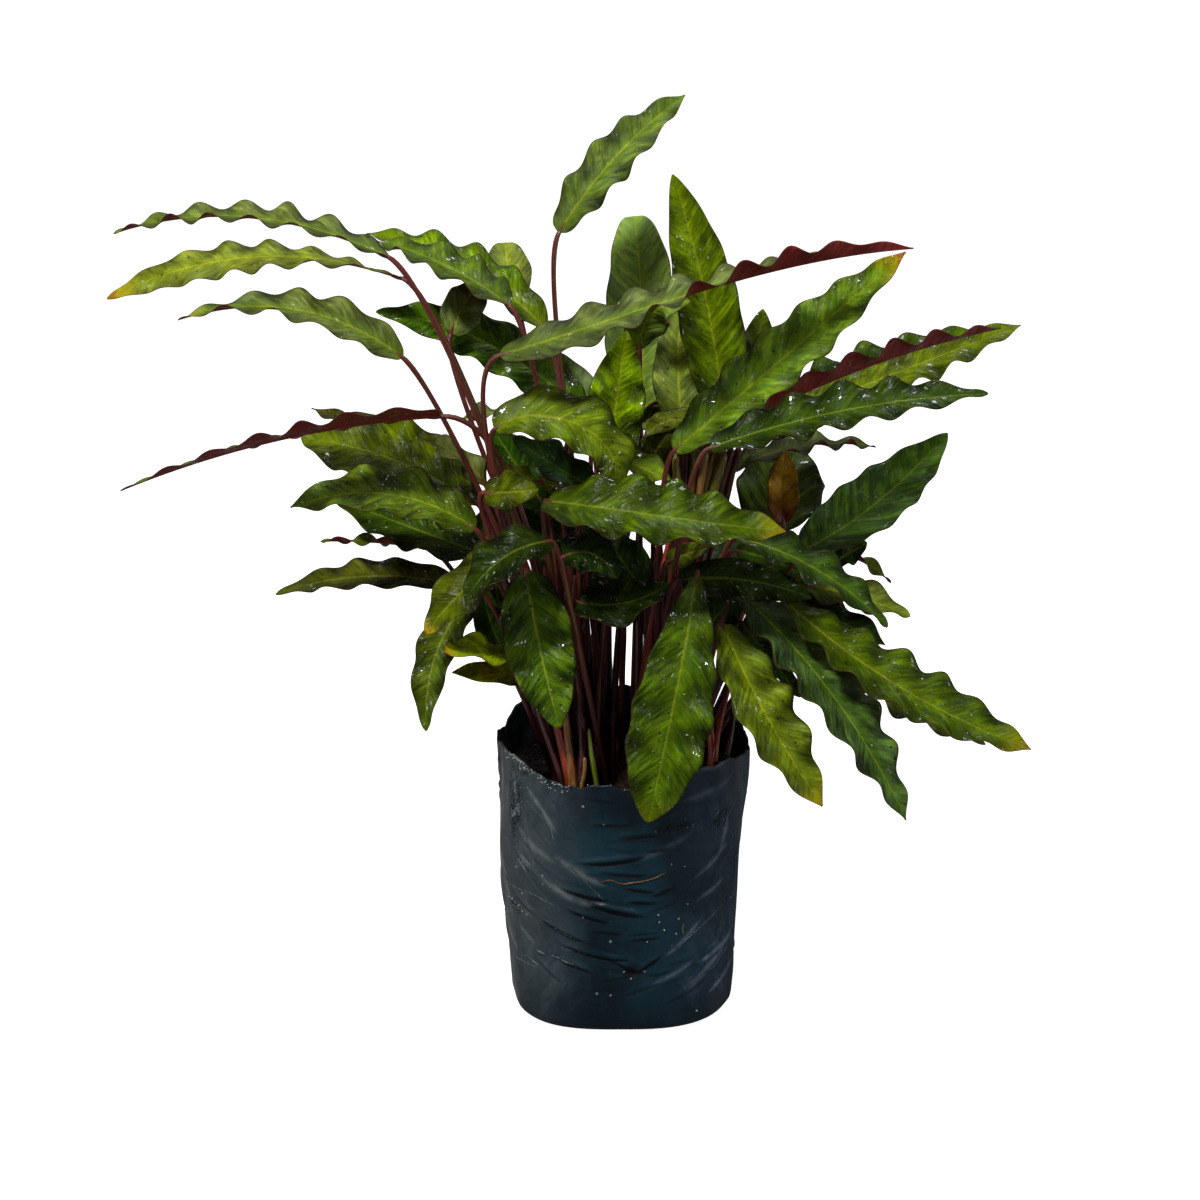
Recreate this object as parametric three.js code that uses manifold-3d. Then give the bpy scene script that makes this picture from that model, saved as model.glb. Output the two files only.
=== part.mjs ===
// A velvet calathea standing in a soft polythene grow bag, in millimetres, +Z up.
// The origin is the middle of the bag's flat base. +X is to the right and -Y towards the viewer.
import * as THREE from 'three';
import { mergeVertices } from 'three/addons/utils/BufferGeometryUtils.js';
import Module from 'manifold-3d';

const wasm = await Module();
wasm.setup();

// Grow bag
const BAG_RIM_RADIUS = 99;
const BAG_RIM_HEIGHT = 208;
const BAG_BASE_RADIUS = 88;
const BAG_BASE_DEPTH = 1.12;
const BAG_CORNER = 7;
const BAG_WALL = 1.2;
const BAG_SIDES = 40;
const BASE_SQUARENESS = 2.7;
const RIM_SQUARENESS = 2.05;
const BAG_DENT = 1.1;
// Rings of the wall, as shares of the way up, and of the rounded lower edge, as shares of its turn
const WALL_SHARES = [0.3, 0.6, 0.85, 1];
const CORNER_SHARES = [0, 0.4, 0.7, 1];
// Rim heights by compass angle in degrees: 0 is to the right, 90 at the back, -90 at the front.
const RIM_HEIGHTS = [
  [-176, 211], [-150, 213], [-120, 202], [-98, 205], [-80, 202], [-50, 213],
  [-6, 205], [45, 210], [94, 215], [143, 218], [162, 208],
];

// Soil, and the crown of rhizomes that sits in a round hole in it
const SOIL_LEVEL = 176;
const SOIL_EASE = 0.5;
const SOIL_SHOULDER = 3;
const SOIL_SHOULDER_WIDTH = 9;
const CROWN_RADIUS = 62;
const CROWN_DEPTH = 26;
const CROWN_LOBE = 2.5;
const CROWN_KNOB = 1.5;
const CROWN_SHOULDER = 4;
const CROWN_SHOULDER_WIDTH = 14;
const CROWN_DOME = 6;
const CLEARANCE = 0.35;

// Leaf stalks
const STALK_FOOT_RADIUS = 3.3;
const STALK_NECK_RADIUS = 2.2;
const STALK_SIDES = 5;
const STALK_GAPS = 6;
const STALK_SUNK = 12;
const STALK_BEND = 0.08;
const STALK_LEAN = 0.3;
const STALK_RISE = 0.42;
// Stalks of low leaves leave the crown near its edge, and those of high leaves near its middle.
const LOW_NECK = 300;
const HIGH_NECK = 620;
const OUTER_REACH = 0.82;
const INNER_REACH = 0.2;

// Leaf blades
const BLADE_THICKNESS = 0.9;
const HALF_WAVE = 17;
const WAVE_HEIGHT = 4.2;
const BLADE_NECK_HALF_WIDTH = 2.2;
const BLADE_TIP_HALF_WIDTH = 0.7;
const MARGIN_LIFT = 12;
const WIDEST_AT = 0.42;
const BLADE_SUNK = 3;

const COLOURS = {
  film: { color: 0x1b2a33, roughness: 0.42, metalness: 0 },
  soil: { color: 0x1a120d, roughness: 1, metalness: 0 },
  stalk: { color: 0x5a1f1a, roughness: 0.5, metalness: 0 },
  lime: { color: 0x7c9a12, roughness: 0.45, metalness: 0 },
  green: { color: 0x4b7a1c, roughness: 0.42, metalness: 0 },
  dark: { color: 0x1d4012, roughness: 0.38, metalness: 0 },
  olive: { color: 0x5a6420, roughness: 0.5, metalness: 0 },
};

// Every leaf blade by the points its rib passes through, from the neck to the tip, the way its upper
// face looks at the neck (and at the tip, where it twists), its width and its colour.
// lift and tipLift raise both margins, in degrees. widest is the share of the rib where the blade is
// widest. bend is how early the stalk turns into the blade.
const LEAVES = [
  // Long leaves at the upper left
  { rib: [[-175, -15, 592], [-284, 0, 619], [-383, 20, 603]], face: [0, -0.1, 1],
    width: 42, tone: 'green' },
  { rib: [[-169, 45, 564], [-284, 85, 573], [-408, 115, 534]], face: [0, 0.4, 1], tipFace: [-0.1, -1.1, 1],
    width: 46, lift: 0, tone: 'lime' },
  { rib: [[-164, -45, 523], [-238, -50, 559], [-326, -55, 553]], face: [0, -0.7, 1], tipFace: [0, 0.5, 1],
    width: 42, tone: 'green' },
  { rib: [[-87, 0, 553], [-140, 40, 577], [-190, 80, 586]], face: [0, -0.15, 1], width: 44, tone: 'green' },
  { rib: [[-62, 35, 528], [-125, 80, 569], [-202, 120, 585]], face: [0, -0.2, 1], width: 46, tone: 'lime' },
  { rib: [[-84, 90, 538], [-92, 120, 566], [-99, 165, 562]], face: [0, -0.4, 1], width: 33, tone: 'lime' },
  { rib: [[-133, 40, 522], [-124, 55, 539], [-112, 75, 555]], face: [0.3, -1, 0.3],
    width: 34, tone: 'olive' },
  { rib: [[-30, 55, 452], [-103, 68, 507], [-192, 70, 533]], face: [0.25, -0.8, 0.6],
    width: 44, tone: 'dark' },
  // Upright leaves in the middle
  { rib: [[-11, 38, 417], [-6, 32, 472], [2, 26, 527]], face: [0, -1, 0.15], width: 46, tone: 'lime' },
  { rib: [[-49, 20, 604], [-9, 45, 654], [46, 80, 698]], face: [-0.35, -0.8, 0.4],
    width: 38, tone: 'green' },
  { rib: [[14, 75, 437], [14, 85, 522], [11, 98, 587], [8, 140, 582]], face: [0, -1, 0.1],
    tipFace: [0, -0.3, 1], width: 58, tone: 'dark' },
  { rib: [[77, 35, 455], [63, 35, 545], [36, 40, 644]], face: [0.1, -1, 0.2], width: 50, tone: 'lime' },
  { rib: [[46, 55, 442], [42, 60, 493], [46, 65, 545]], face: [0, -1, 0.1], width: 40, tone: 'dark' },
  { rib: [[95, 65, 448], [102, 70, 491], [108, 75, 534]], face: [0, -1, 0.2], width: 36, tone: 'olive' },
  { rib: [[-18, 64, 432], [-34, 80, 465], [-52, 95, 495]], face: [0.2, -1, 0.2], width: 32, tone: 'dark' },
  { rib: [[12, 45, 509], [19, 32, 538], [49, 8, 554]], face: [0.3, -0.8, 0.3],
    width: 34, foot: [14, 30], tone: 'green' },
  // Long leaves at the upper right
  { rib: [[-91, -65, 529], [0, -70, 560], [100, -82, 593], [204, -90, 612]], face: [0, -0.9, 1],
    tipFace: [0, 0.8, 1], width: 44, lift: -6, tipLift: 40, tone: 'green', foot: [-50, -20], bend: 0.12 },
  { rib: [[37, -40, 451], [119, -42, 524], [203, -50, 602]], face: [-0.4, -0.75, 0.5],
    width: 48, tone: 'green' },
  { rib: [[65, -25, 455], [166, -15, 503], [283, 5, 534]], face: [0, 0.14, 1],
    width: 42, lift: 37, tone: 'green' },
  { rib: [[82, 25, 442], [195, 60, 480], [311, 90, 518]], face: [0, -0.5, 1], width: 56, tone: 'lime' },
  { rib: [[62, -72, 461], [160, -78, 491], [263, -80, 504]], face: [0, -0.5, 1], width: 46, tone: 'dark' },
  { rib: [[80, 35, 414], [138, 75, 424], [203, 115, 413]], face: [0, -0.1, 1], width: 34, tone: 'olive' },
  { rib: [[117, 25, 368], [124, 65, 391], [142, 110, 414]], face: [0, -0.75, 0.65],
    width: 70, tone: 'dark' },
  { rib: [[139, 0, 361], [195, 45, 384], [257, 90, 431]], face: [-0.35, -0.65, 0.65],
    width: 58, tone: 'dark' },
  // Leaves that hang at the right
  { rib: [[85, -40, 383], [142, -60, 365], [197, -70, 322]], face: [0.4, -0.4, 0.8],
    width: 40, tone: 'green' },
  { rib: [[128, -10, 338], [175, -20, 331], [219, -25, 316]], face: [0.2, -0.45, 0.9],
    width: 38, tone: 'lime' },
  { rib: [[118, -57, 341], [208, -104, 284], [299, -130, 247]], face: [0.35, -0.5, 0.8],
    width: 56, widest: 0.52, tone: 'lime', bend: 0.45 },
  { rib: [[87, -42, 340], [153, -94, 279], [209, -128, 190]], face: [0.45, -0.5, 0.75],
    width: 60, tone: 'dark' },
  { rib: [[73, -70, 324], [101, -110, 273], [146, -135, 204]], face: [0.4, -0.75, 0.55],
    width: 50, widest: 0.46, tone: 'lime' },
  { rib: [[54, -75, 365], [38, -113, 288], [17, -130, 189]], face: [0.05, -0.95, 0.3],
    width: 62, widest: 0.6, foot: [16, -50], tone: 'green' },
  // Leaves that hang at the left
  { rib: [[-74, -55, 360], [-64, -75, 310], [-49, -85, 247]], face: [0, -0.97, 0.25],
    width: 54, tone: 'dark' },
  { rib: [[-87, -60, 375], [-119, -80, 355], [-148, -90, 323]], face: [-0.35, -0.75, 0.6],
    width: 40, tone: 'lime' },
  { rib: [[-113, -35, 340], [-141, -60, 301], [-150, -75, 241]], face: [-0.3, -0.9, 0.3],
    width: 32, tone: 'green' },
  { rib: [[-64, -44, 284], [-100, -66, 299], [-134, -92, 310]], face: [0, -0.4, 1],
    width: 36, widest: 0.6, tone: 'lime' },
  { rib: [[-72, -35, 269], [-104, -44, 276], [-131, -50, 279]], face: [0, -0.2, 1],
    width: 24, tone: 'lime' },
  { rib: [[-129, 0, 333], [-203, 25, 332], [-275, 45, 311]], face: [0, -0.18, 1],
    width: 34, tone: 'olive' },
  // Spreading leaves at the left
  { rib: [[-110, -5, 360], [-165, 15, 375], [-225, 35, 393]], face: [0, -0.5, 1], width: 54, tone: 'dark' },
  { rib: [[-112, -47, 392], [-172, -50, 419], [-249, -55, 411]], face: [-0.1, -0.5, 1],
    width: 52, tone: 'green' },
  { rib: [[-113, 20, 392], [-175, 50, 418], [-254, 75, 431]], face: [0, -0.6, 1],
    width: 76, widest: 0.55, tone: 'lime' },
  { rib: [[-116, 55, 392], [-178, 100, 416], [-252, 140, 439]], face: [0.4, -0.2, 0.9],
    width: 44, tone: 'olive' },
  { rib: [[-136, -60, 482], [-252, -95, 473], [-363, -120, 442]], face: [-0.15, 0.55, 1],
    tipFace: [0, 0.2, 1], width: 38, widest: 0.32, tone: 'green', bend: 0.2 },
  { rib: [[-106, 0, 413], [-124, 0, 434], [-151, 0, 449]], face: [0.3, -0.4, 0.9],
    width: 26, tone: 'olive' },
  { rib: [[-72, 52, 447], [-101, 48, 458], [-127, 44, 453]], face: [0, -0.4, 1], width: 20, tone: 'olive' },
  // Leaves that arch over the middle
  { rib: [[-96, -58, 472], [-52, -58, 481], [-15, -56, 459], [-16, -50, 410]], face: [0, -0.6, 0.8],
    tipFace: [0.7, -0.7, 0.1], width: 46, tone: 'lime' },
  { rib: [[-38, -2, 450], [1, -18, 437], [36, -32, 424]], face: [0.2, -0.4, 0.9], width: 40, tone: 'lime' },
  { rib: [[-18, -10, 410], [-49, -25, 433], [-84, -35, 460]], face: [0.1, -0.6, 0.8],
    width: 36, tone: 'dark' },
  { rib: [[-104, -60, 424], [-85, -66, 426], [-64, -70, 429]], face: [0, -0.8, 0.5],
    width: 30, tone: 'lime' },
  { rib: [[-58, -62, 418], [-4, -98, 421], [54, -110, 416], [116, -115, 410]], face: [0, -0.65, 1],
    width: 60, tone: 'green' },
  { rib: [[-56, -76, 391], [-89, -98, 385], [-117, -106, 355]], face: [-0.2, -0.6, 0.8],
    width: 42, tone: 'dark' },
  { rib: [[-46, -80, 380], [-27, -88, 386], [-6, -92, 367]], face: [0, -0.7, 0.8],
    width: 38, foot: [-12, -42], bend: 0.02, tone: 'dark' },
  { rib: [[-36, -63, 340], [-6, -76, 342], [33, -80, 359]], face: [0, -0.6, 0.9], width: 46, tone: 'dark' },
  { rib: [[40, -57, 355], [87, -62, 357], [140, -68, 344]], face: [0, -1, 0.3], width: 32, tone: 'dark' },
  // Leaves at the back
  { rib: [[-85, 105, 305], [-135, 155, 325], [-190, 200, 305]], face: [0, 0.2, 1],
    width: 56, tone: 'green' },
  { rib: [[-15, 100, 325], [-20, 190, 345], [-25, 290, 315]], face: [0.2, 0, 1], width: 58, tone: 'dark' },
  { rib: [[65, 100, 310], [110, 160, 320], [155, 230, 290]], face: [0.1, 0.2, 1],
    width: 56, tone: 'green' },
  { rib: [[62, 75, 455], [70, 135, 510], [72, 205, 520]], face: [0, -0.5, 1], width: 46, tone: 'green' },
  { rib: [[40, 105, 290], [75, 175, 290], [100, 245, 245]], face: [0, 0.3, 1], width: 54, tone: 'dark' },
];

// Young, narrow and half-hidden leaves of the stalks' own colour, grown together with them.
const STALK_COLOURED_LEAVES = [
  { rib: [[121, -20, 389], [119, -15, 413], [122, -10, 443]], face: [0.2, -1, 0], width: 28, lift: 25 },
  { rib: [[130, 35, 346], [178, 40, 344], [211, 40, 322]], face: [0, 0, 1], width: 14 },
  { rib: [[136, -10, 304], [195, -50, 261], [273, -80, 232]], face: [0.3, -0.2, 0.9], width: 30 },
  { rib: [[-151, 25, 355], [-198, 30, 359], [-237, 35, 358]], face: [0, 0.2, 1], width: 16 },
  { rib: [[-44, -15, 417], [-64, -25, 422], [-88, -30, 439]], face: [0, -0.3, 1], width: 18 },
  { rib: [[59, 40, 446], [37, 30, 457], [15, 20, 445]], face: [0, -0.8, 0.6], width: 20 },
  { rib: [[33, -30, 361], [48, -40, 371], [62, -50, 378]], face: [0, -1, 0.3], width: 18 },
  { rib: [[-18, 75, 444], [13, 75, 455], [43, 70, 463]], face: [0, -0.2, 1], width: 9 },
];

const radians = THREE.MathUtils.degToRad;
const vector = ([x, y, z]) => new THREE.Vector3(x, y, z);

// Closed solid from rings of points, stacked from the first pole to the last.
function ringSolid(firstPole, rings, lastPole) {
  const sides = rings[0].length;
  const points = [firstPole, ...rings.flat(), lastPole];
  const last = points.length - 1;
  const index = [];
  for (let i = 0; i < sides; i += 1) {
    const next = (i + 1) % sides;
    index.push(0, 1 + next, 1 + i);
    for (let ring = 0; ring < rings.length - 1; ring += 1) {
      const low = 1 + ring * sides;
      const high = low + sides;
      index.push(low + i, low + next, high + next);
      index.push(low + i, high + next, high + i);
    }
    const top = 1 + (rings.length - 1) * sides;
    index.push(top + i, top + next, last);
  }
  const geometry = new THREE.BufferGeometry().setFromPoints(points);
  geometry.setIndex(index);
  return geometry;
}

function toManifold(geometry) {
  const merged = mergeVertices(geometry);
  return new wasm.Manifold(new wasm.Mesh({
    numProp: 3,
    vertProperties: new Float32Array(merged.attributes.position.array),
    triVerts: new Uint32Array(merged.index.array),
  }));
}

function fromManifold(solid) {
  const mesh = solid.getMesh();
  const geometry = new THREE.BufferGeometry();
  geometry.setAttribute('position', new THREE.BufferAttribute(mesh.vertProperties, 3));
  geometry.setIndex(new THREE.BufferAttribute(mesh.triVerts, 1));
  return geometry;
}

// Height of the bag's rim at an angle, eased between the listed heights.
function rimHeight(degrees) {
  const count = RIM_HEIGHTS.length;
  for (let i = 0; i < count; i += 1) {
    const [from, low] = RIM_HEIGHTS[i];
    const [to, high] = RIM_HEIGHTS[(i + 1) % count];
    const span = THREE.MathUtils.euclideanModulo(to - from, 360);
    const along = THREE.MathUtils.euclideanModulo(degrees - from, 360);
    if (along <= span) return low + (high - low) * THREE.MathUtils.smoothstep(along, 0, span);
  }
  return BAG_RIM_HEIGHT;
}

// The film tapers from a squarish base to a round rim, pressed a little out of true by the soil.
function bagRadius(angle, z) {
  const rise = THREE.MathUtils.clamp(z / BAG_RIM_HEIGHT, 0, 1);
  const round = THREE.MathUtils.lerp(BAG_BASE_RADIUS, BAG_RIM_RADIUS, rise);
  const power = THREE.MathUtils.lerp(BASE_SQUARENESS, RIM_SQUARENESS, rise);
  const corner = (Math.abs(Math.cos(angle)) ** power + Math.abs(Math.sin(angle)) ** power) ** (-1 / power);
  return round * corner + BAG_DENT * Math.sin(Math.PI * rise) * Math.cos(5 * angle + 2);
}

function bagRing(inset, heightAt) {
  return Array.from({ length: BAG_SIDES }, (_, i) => {
    const angle = (i / BAG_SIDES) * Math.PI * 2;
    const z = heightAt(angle);
    const radius = bagRadius(angle, z) - inset;
    const depth = THREE.MathUtils.lerp(BAG_BASE_DEPTH, 1, z / BAG_RIM_HEIGHT);
    return new THREE.Vector3(radius * Math.cos(angle), depth * radius * Math.sin(angle), z);
  });
}

// Height at a share of the way from the lower edge to the rim.
const wallHeight = (share) => (angle) => {
  const rim = rimHeight(THREE.MathUtils.radToDeg(angle));
  return BAG_CORNER + (rim - BAG_CORNER) * share;
};

// Inset of the rounded lower edge and its height, at a share of the quarter turn.
function cornerStep(share) {
  const turn = (share * Math.PI) / 2;
  return { inset: BAG_CORNER * (1 - Math.sin(turn)), z: BAG_CORNER * (1 - Math.cos(turn)) };
}

function growBag() {
  const corner = CORNER_SHARES.map(cornerStep);
  const outside = [
    ...corner.map(({ inset, z }) => bagRing(inset, () => z)),
    ...WALL_SHARES.map((share) => bagRing(0, wallHeight(share))),
  ];
  const inside = [
    ...WALL_SHARES.toReversed().map((share) => bagRing(BAG_WALL, wallHeight(share))),
    ...corner.toReversed().map(({ inset, z }) => bagRing(inset + BAG_WALL, () => Math.max(z, BAG_WALL))),
  ];
  const floor = new THREE.Vector3(0, 0, 0);
  const inner = new THREE.Vector3(0, 0, BAG_WALL);
  return ringSolid(floor, [...outside, ...inside], inner);
}

// Outline of the crown of rhizomes, grown by a margin to give the hole that it stands in.
function crownRing(margin, z) {
  return Array.from({ length: BAG_SIDES }, (_, i) => {
    const angle = (i / BAG_SIDES) * Math.PI * 2;
    const lobes = CROWN_LOBE * Math.cos(3 * angle + 1) + CROWN_KNOB * Math.cos(7 * angle);
    const radius = CROWN_RADIUS + lobes + margin;
    return new THREE.Vector3(radius * Math.cos(angle), radius * Math.sin(angle), z);
  });
}

function pottingSoil() {
  const inset = BAG_WALL + CLEARANCE;
  const corner = CORNER_SHARES.map(cornerStep);
  const holeFloor = SOIL_LEVEL - CROWN_DEPTH;
  const rings = [
    ...corner.map((step) => bagRing(step.inset + inset, () => Math.max(step.z, inset))),
    bagRing(inset + SOIL_EASE, wallHeight(WALL_SHARES[0])),
    bagRing(inset + SOIL_EASE, wallHeight(WALL_SHARES[1])),
    bagRing(inset + SOIL_EASE, () => SOIL_LEVEL - SOIL_SHOULDER),
    bagRing(inset + SOIL_SHOULDER_WIDTH, () => SOIL_LEVEL),
    crownRing(CLEARANCE, SOIL_LEVEL),
    crownRing(CLEARANCE, holeFloor),
  ];
  return ringSolid(new THREE.Vector3(0, 0, inset), rings, new THREE.Vector3(0, 0, holeFloor));
}

function crown() {
  const low = SOIL_LEVEL - CROWN_DEPTH + CLEARANCE;
  const shoulder = crownRing(-CROWN_SHOULDER_WIDTH, SOIL_LEVEL + CROWN_SHOULDER);
  const rings = [crownRing(0, low), crownRing(0, SOIL_LEVEL), shoulder];
  return ringSolid(new THREE.Vector3(0, 0, low), rings, new THREE.Vector3(0, 0, SOIL_LEVEL + CROWN_DOME));
}

// One smooth curve through a leaf's rib points, by the share of the way along them.
function curveThrough(points) {
  const lengths = [0];
  for (let i = 1; i < points.length; i += 1) {
    lengths.push(lengths[i - 1] + points[i].distanceTo(points[i - 1]));
  }
  const total = lengths[lengths.length - 1];
  const knots = lengths.map((length) => length / total);
  const at = (t) => {
    const place = new THREE.Vector3();
    points.forEach((point, i) => {
      const others = knots.filter((knot, j) => j !== i);
      const weight = others.reduce((product, knot) => (product * (t - knot)) / (knots[i] - knot), 1);
      place.addScaledVector(point, weight);
    });
    return place;
  };
  const along = (t) => at(t + 0.01).sub(at(t - 0.01)).normalize();
  return { at, along, total };
}

// Half width of a blade along its rib: blunt at the neck and drawn to a tip.
function halfWidth(t, leaf) {
  const skew = Math.log(0.5) / Math.log(leaf.widest ?? WIDEST_AT);
  const outline = Math.sin(Math.PI * t ** skew) ** (0.5 + 0.2 * t);
  const least = THREE.MathUtils.lerp(BLADE_NECK_HALF_WIDTH, BLADE_TIP_HALF_WIDTH, t);
  return Math.max(least, (leaf.width / 2) * outline);
}

// Waved blade: six points a section, split into triangles alike on its upper and lower face.
function blade(leaf, sunk = 0) {
  const rib = curveThrough(leaf.rib.map(vector));
  const gaps = Math.max(4, Math.round(rib.total / HALF_WAVE));
  const neckFace = vector(leaf.face);
  const tipFace = vector(leaf.tipFace ?? leaf.face);
  const neckLift = leaf.lift ?? MARGIN_LIFT;
  const points = [];
  for (let k = 0; k <= gaps; k += 1) {
    const t = k / gaps;
    const along = rib.along(t);
    const side = along.clone().cross(neckFace.clone().lerp(tipFace, t)).normalize();
    const up = side.clone().cross(along);
    const middle = rib.at(t);
    if (k === 0) middle.addScaledVector(along, -sunk);
    const lift = radians(THREE.MathUtils.lerp(neckLift, leaf.tipLift ?? neckLift, t));
    const half = halfWidth(t, leaf);
    const wave = WAVE_HEIGHT * Math.sqrt(Math.sin(Math.PI * t)) * (k % 2 ? 1 : -1);
    const margin = (way) => middle.clone()
      .addScaledVector(side, way * half * Math.cos(lift))
      .addScaledVector(up, half * Math.sin(lift) + way * wave);
    for (const face of [0.5, -0.5]) {
      for (const place of [margin(-1), middle.clone(), margin(1)]) {
        points.push(place.addScaledVector(up, face * BLADE_THICKNESS));
      }
    }
  }
  const index = [];
  const quad = (a, b, c, d) => index.push(a, b, c, a, c, d);
  for (let k = 0; k < gaps; k += 1) {
    const near = 6 * k;
    const far = near + 6;
    quad(near, near + 1, far + 1, far);
    quad(near + 1, near + 2, far + 2, far + 1);
    index.push(near + 3, far + 4, near + 4, near + 3, far + 3, far + 4);
    index.push(near + 4, far + 5, near + 5, near + 4, far + 4, far + 5);
    quad(near + 2, near + 5, far + 5, far + 2);
    quad(near + 3, near, far, far + 3);
  }
  const end = 6 * gaps;
  quad(0, 3, 4, 1);
  quad(1, 4, 5, 2);
  quad(end, end + 1, end + 4, end + 3);
  quad(end + 1, end + 2, end + 5, end + 4);
  const geometry = new THREE.BufferGeometry().setFromPoints(points);
  geometry.setIndex(index);
  return geometry;
}

// Where a leaf's stalk leaves the crown: towards its blade, and further out the lower the blade is.
function stalkFoot(neck) {
  const highness = THREE.MathUtils.smoothstep(neck.z, LOW_NECK, HIGH_NECK);
  const reach = CROWN_RADIUS * THREE.MathUtils.lerp(OUTER_REACH, INNER_REACH, highness);
  const away = new THREE.Vector3(neck.x, neck.y, 0);
  away.setLength(Math.min(reach, away.length()));
  return away.setZ(SOIL_LEVEL - STALK_SUNK);
}

function stalkCurve(leaf, gap) {
  const rib = curveThrough(leaf.rib.map(vector));
  const neck = rib.at(0).addScaledVector(rib.along(0), -gap);
  const foot = leaf.foot ? vector([...leaf.foot, SOIL_LEVEL - STALK_SUNK]) : stalkFoot(neck);
  const rise = neck.clone().sub(foot);
  const lean = foot.clone().add(rise.clone().multiply(vector([STALK_LEAN, STALK_LEAN, STALK_RISE])));
  const turn = neck.clone().addScaledVector(rib.along(0), -(leaf.bend ?? STALK_BEND) * rise.length());
  return new THREE.CubicBezierCurve3(foot, lean, turn, neck);
}

function stalk(leaf, gap) {
  const curve = stalkCurve(leaf, gap);
  const frames = curve.computeFrenetFrames(STALK_GAPS, false);
  const rings = frames.tangents.map((_, k) => {
    const share = k / STALK_GAPS;
    const radius = THREE.MathUtils.lerp(STALK_FOOT_RADIUS, STALK_NECK_RADIUS, share);
    const middle = curve.getPointAt(share);
    return Array.from({ length: STALK_SIDES }, (_, i) => {
      const turn = (i / STALK_SIDES) * Math.PI * 2;
      return middle.clone()
        .addScaledVector(frames.normals[k], radius * Math.cos(turn))
        .addScaledVector(frames.binormals[k], radius * Math.sin(turn));
    });
  });
  return ringSolid(curve.getPointAt(0), rings, curve.getPointAt(1));
}

// Crown, stalks and the leaves of their colour, joined into the one body that they grow as.
function crownAndStalks() {
  const stalks = LEAVES.map((leaf) => stalk(leaf, CLEARANCE));
  const coloured = STALK_COLOURED_LEAVES.flatMap((leaf) => [stalk(leaf, 0), blade(leaf, BLADE_SUNK)]);
  const solid = [...stalks, ...coloured]
    .map(toManifold)
    .reduce((joined, piece) => joined.add(piece), toManifold(crown()));
  return fromManifold(solid);
}

const plant = new THREE.Group();

function addPiece(name, geometry, colour) {
  geometry.computeVertexNormals();
  const mesh = new THREE.Mesh(geometry, new THREE.MeshStandardMaterial(COLOURS[colour]));
  mesh.name = name;
  plant.add(mesh);
}

addPiece('grow_bag', growBag(), 'film');
addPiece('potting_soil', pottingSoil(), 'soil');
addPiece('crown_and_stalks', crownAndStalks(), 'stalk');
LEAVES.forEach((leaf, i) => {
  addPiece(`leaf_${String(i + 1).padStart(2, '0')}`, blade(leaf), leaf.tone);
});

export default plant;
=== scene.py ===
"""A velvet calathea with long waved leaves, standing in a soft polythene grow bag.

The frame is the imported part's own: metres, +Z up, -Y towards the viewer. Lengths in the tables are
in millimetres, as in the part's source.
"""

import math

import bmesh
import bpy
import numpy as np
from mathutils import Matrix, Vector


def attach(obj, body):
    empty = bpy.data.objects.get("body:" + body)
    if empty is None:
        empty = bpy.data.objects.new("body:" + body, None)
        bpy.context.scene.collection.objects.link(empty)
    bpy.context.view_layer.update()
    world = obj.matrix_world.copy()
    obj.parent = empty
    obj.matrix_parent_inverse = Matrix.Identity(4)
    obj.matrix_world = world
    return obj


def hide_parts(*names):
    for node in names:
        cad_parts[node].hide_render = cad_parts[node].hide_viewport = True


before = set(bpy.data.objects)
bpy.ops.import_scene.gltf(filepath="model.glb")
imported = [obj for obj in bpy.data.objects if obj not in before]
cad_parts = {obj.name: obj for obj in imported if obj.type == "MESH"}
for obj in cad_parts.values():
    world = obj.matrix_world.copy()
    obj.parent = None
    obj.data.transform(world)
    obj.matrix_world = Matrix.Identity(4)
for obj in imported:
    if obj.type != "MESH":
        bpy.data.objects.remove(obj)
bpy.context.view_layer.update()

MM = 0.001

# Grow bag, as in the part's source
BAG_RIM_RADIUS = 99
BAG_RIM_HEIGHT = 208
BAG_BASE_RADIUS = 88
BAG_BASE_DEPTH = 1.12
BAG_CORNER = 7
BASE_SQUARENESS = 2.7
RIM_SQUARENESS = 2.05
BAG_DENT = 1.1
RIM_HEIGHTS = [
    [-176, 211], [-150, 213], [-120, 202], [-98, 205], [-80, 202], [-50, 213],
    [-6, 205], [45, 210], [94, 215], [143, 218], [162, 208],
]

# Film of the bag. Marks on it are placed by degrees round it, which FILM_ARC turns into millimetres.
# The lining inside follows some of the outside's rings, counted from the rim.
FILM_THICKNESS = 0.5
FILM_ARC = 93
FILM_SIDES = 400
FILM_ROWS = 150
FINE_LINING = slice(0, 36)
COARSE_LINING = slice(38, 130, 6)
FRONT_CREASES = 44
BACK_CREASES = 34
# Crumbs along the rim are partly real crumbs and partly painted glints of wet dirt.
RIM_CRUMBS_AND_GLINTS = 90

# Soil and crown
SOIL_LEVEL = 176
CROWN_RADIUS = 62
CROWN_LOBE = 2.5
CROWN_KNOB = 1.5
CROWN_DOME = 6
SOIL_DEPTHS = (8, 30, 60, 90, 120, 145, 162, 170)
LUMP_SIZES = (34, 21, 13, 8, 5, 3.4)
LUMP_STEEPNESS = 0.035

# Leaf stalks
STALK_SUNK = 12
STALK_BEND = 0.08
STALK_LEAN = 0.3
STALK_RISE = 0.42
LOW_NECK = 300
HIGH_NECK = 620
OUTER_REACH = 0.82
INNER_REACH = 0.2
STALK_RINGS = 34
STALK_SIDES = 10
STALK_RADIUS = 2.7
STALK_TAPER = 0.95
STALK_FOOT_SWELL = 1.5
STALK_END = [1.06, 1.12, 1.15, 1.15, 1.1, 1.0, 0.8, 0.45]

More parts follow.
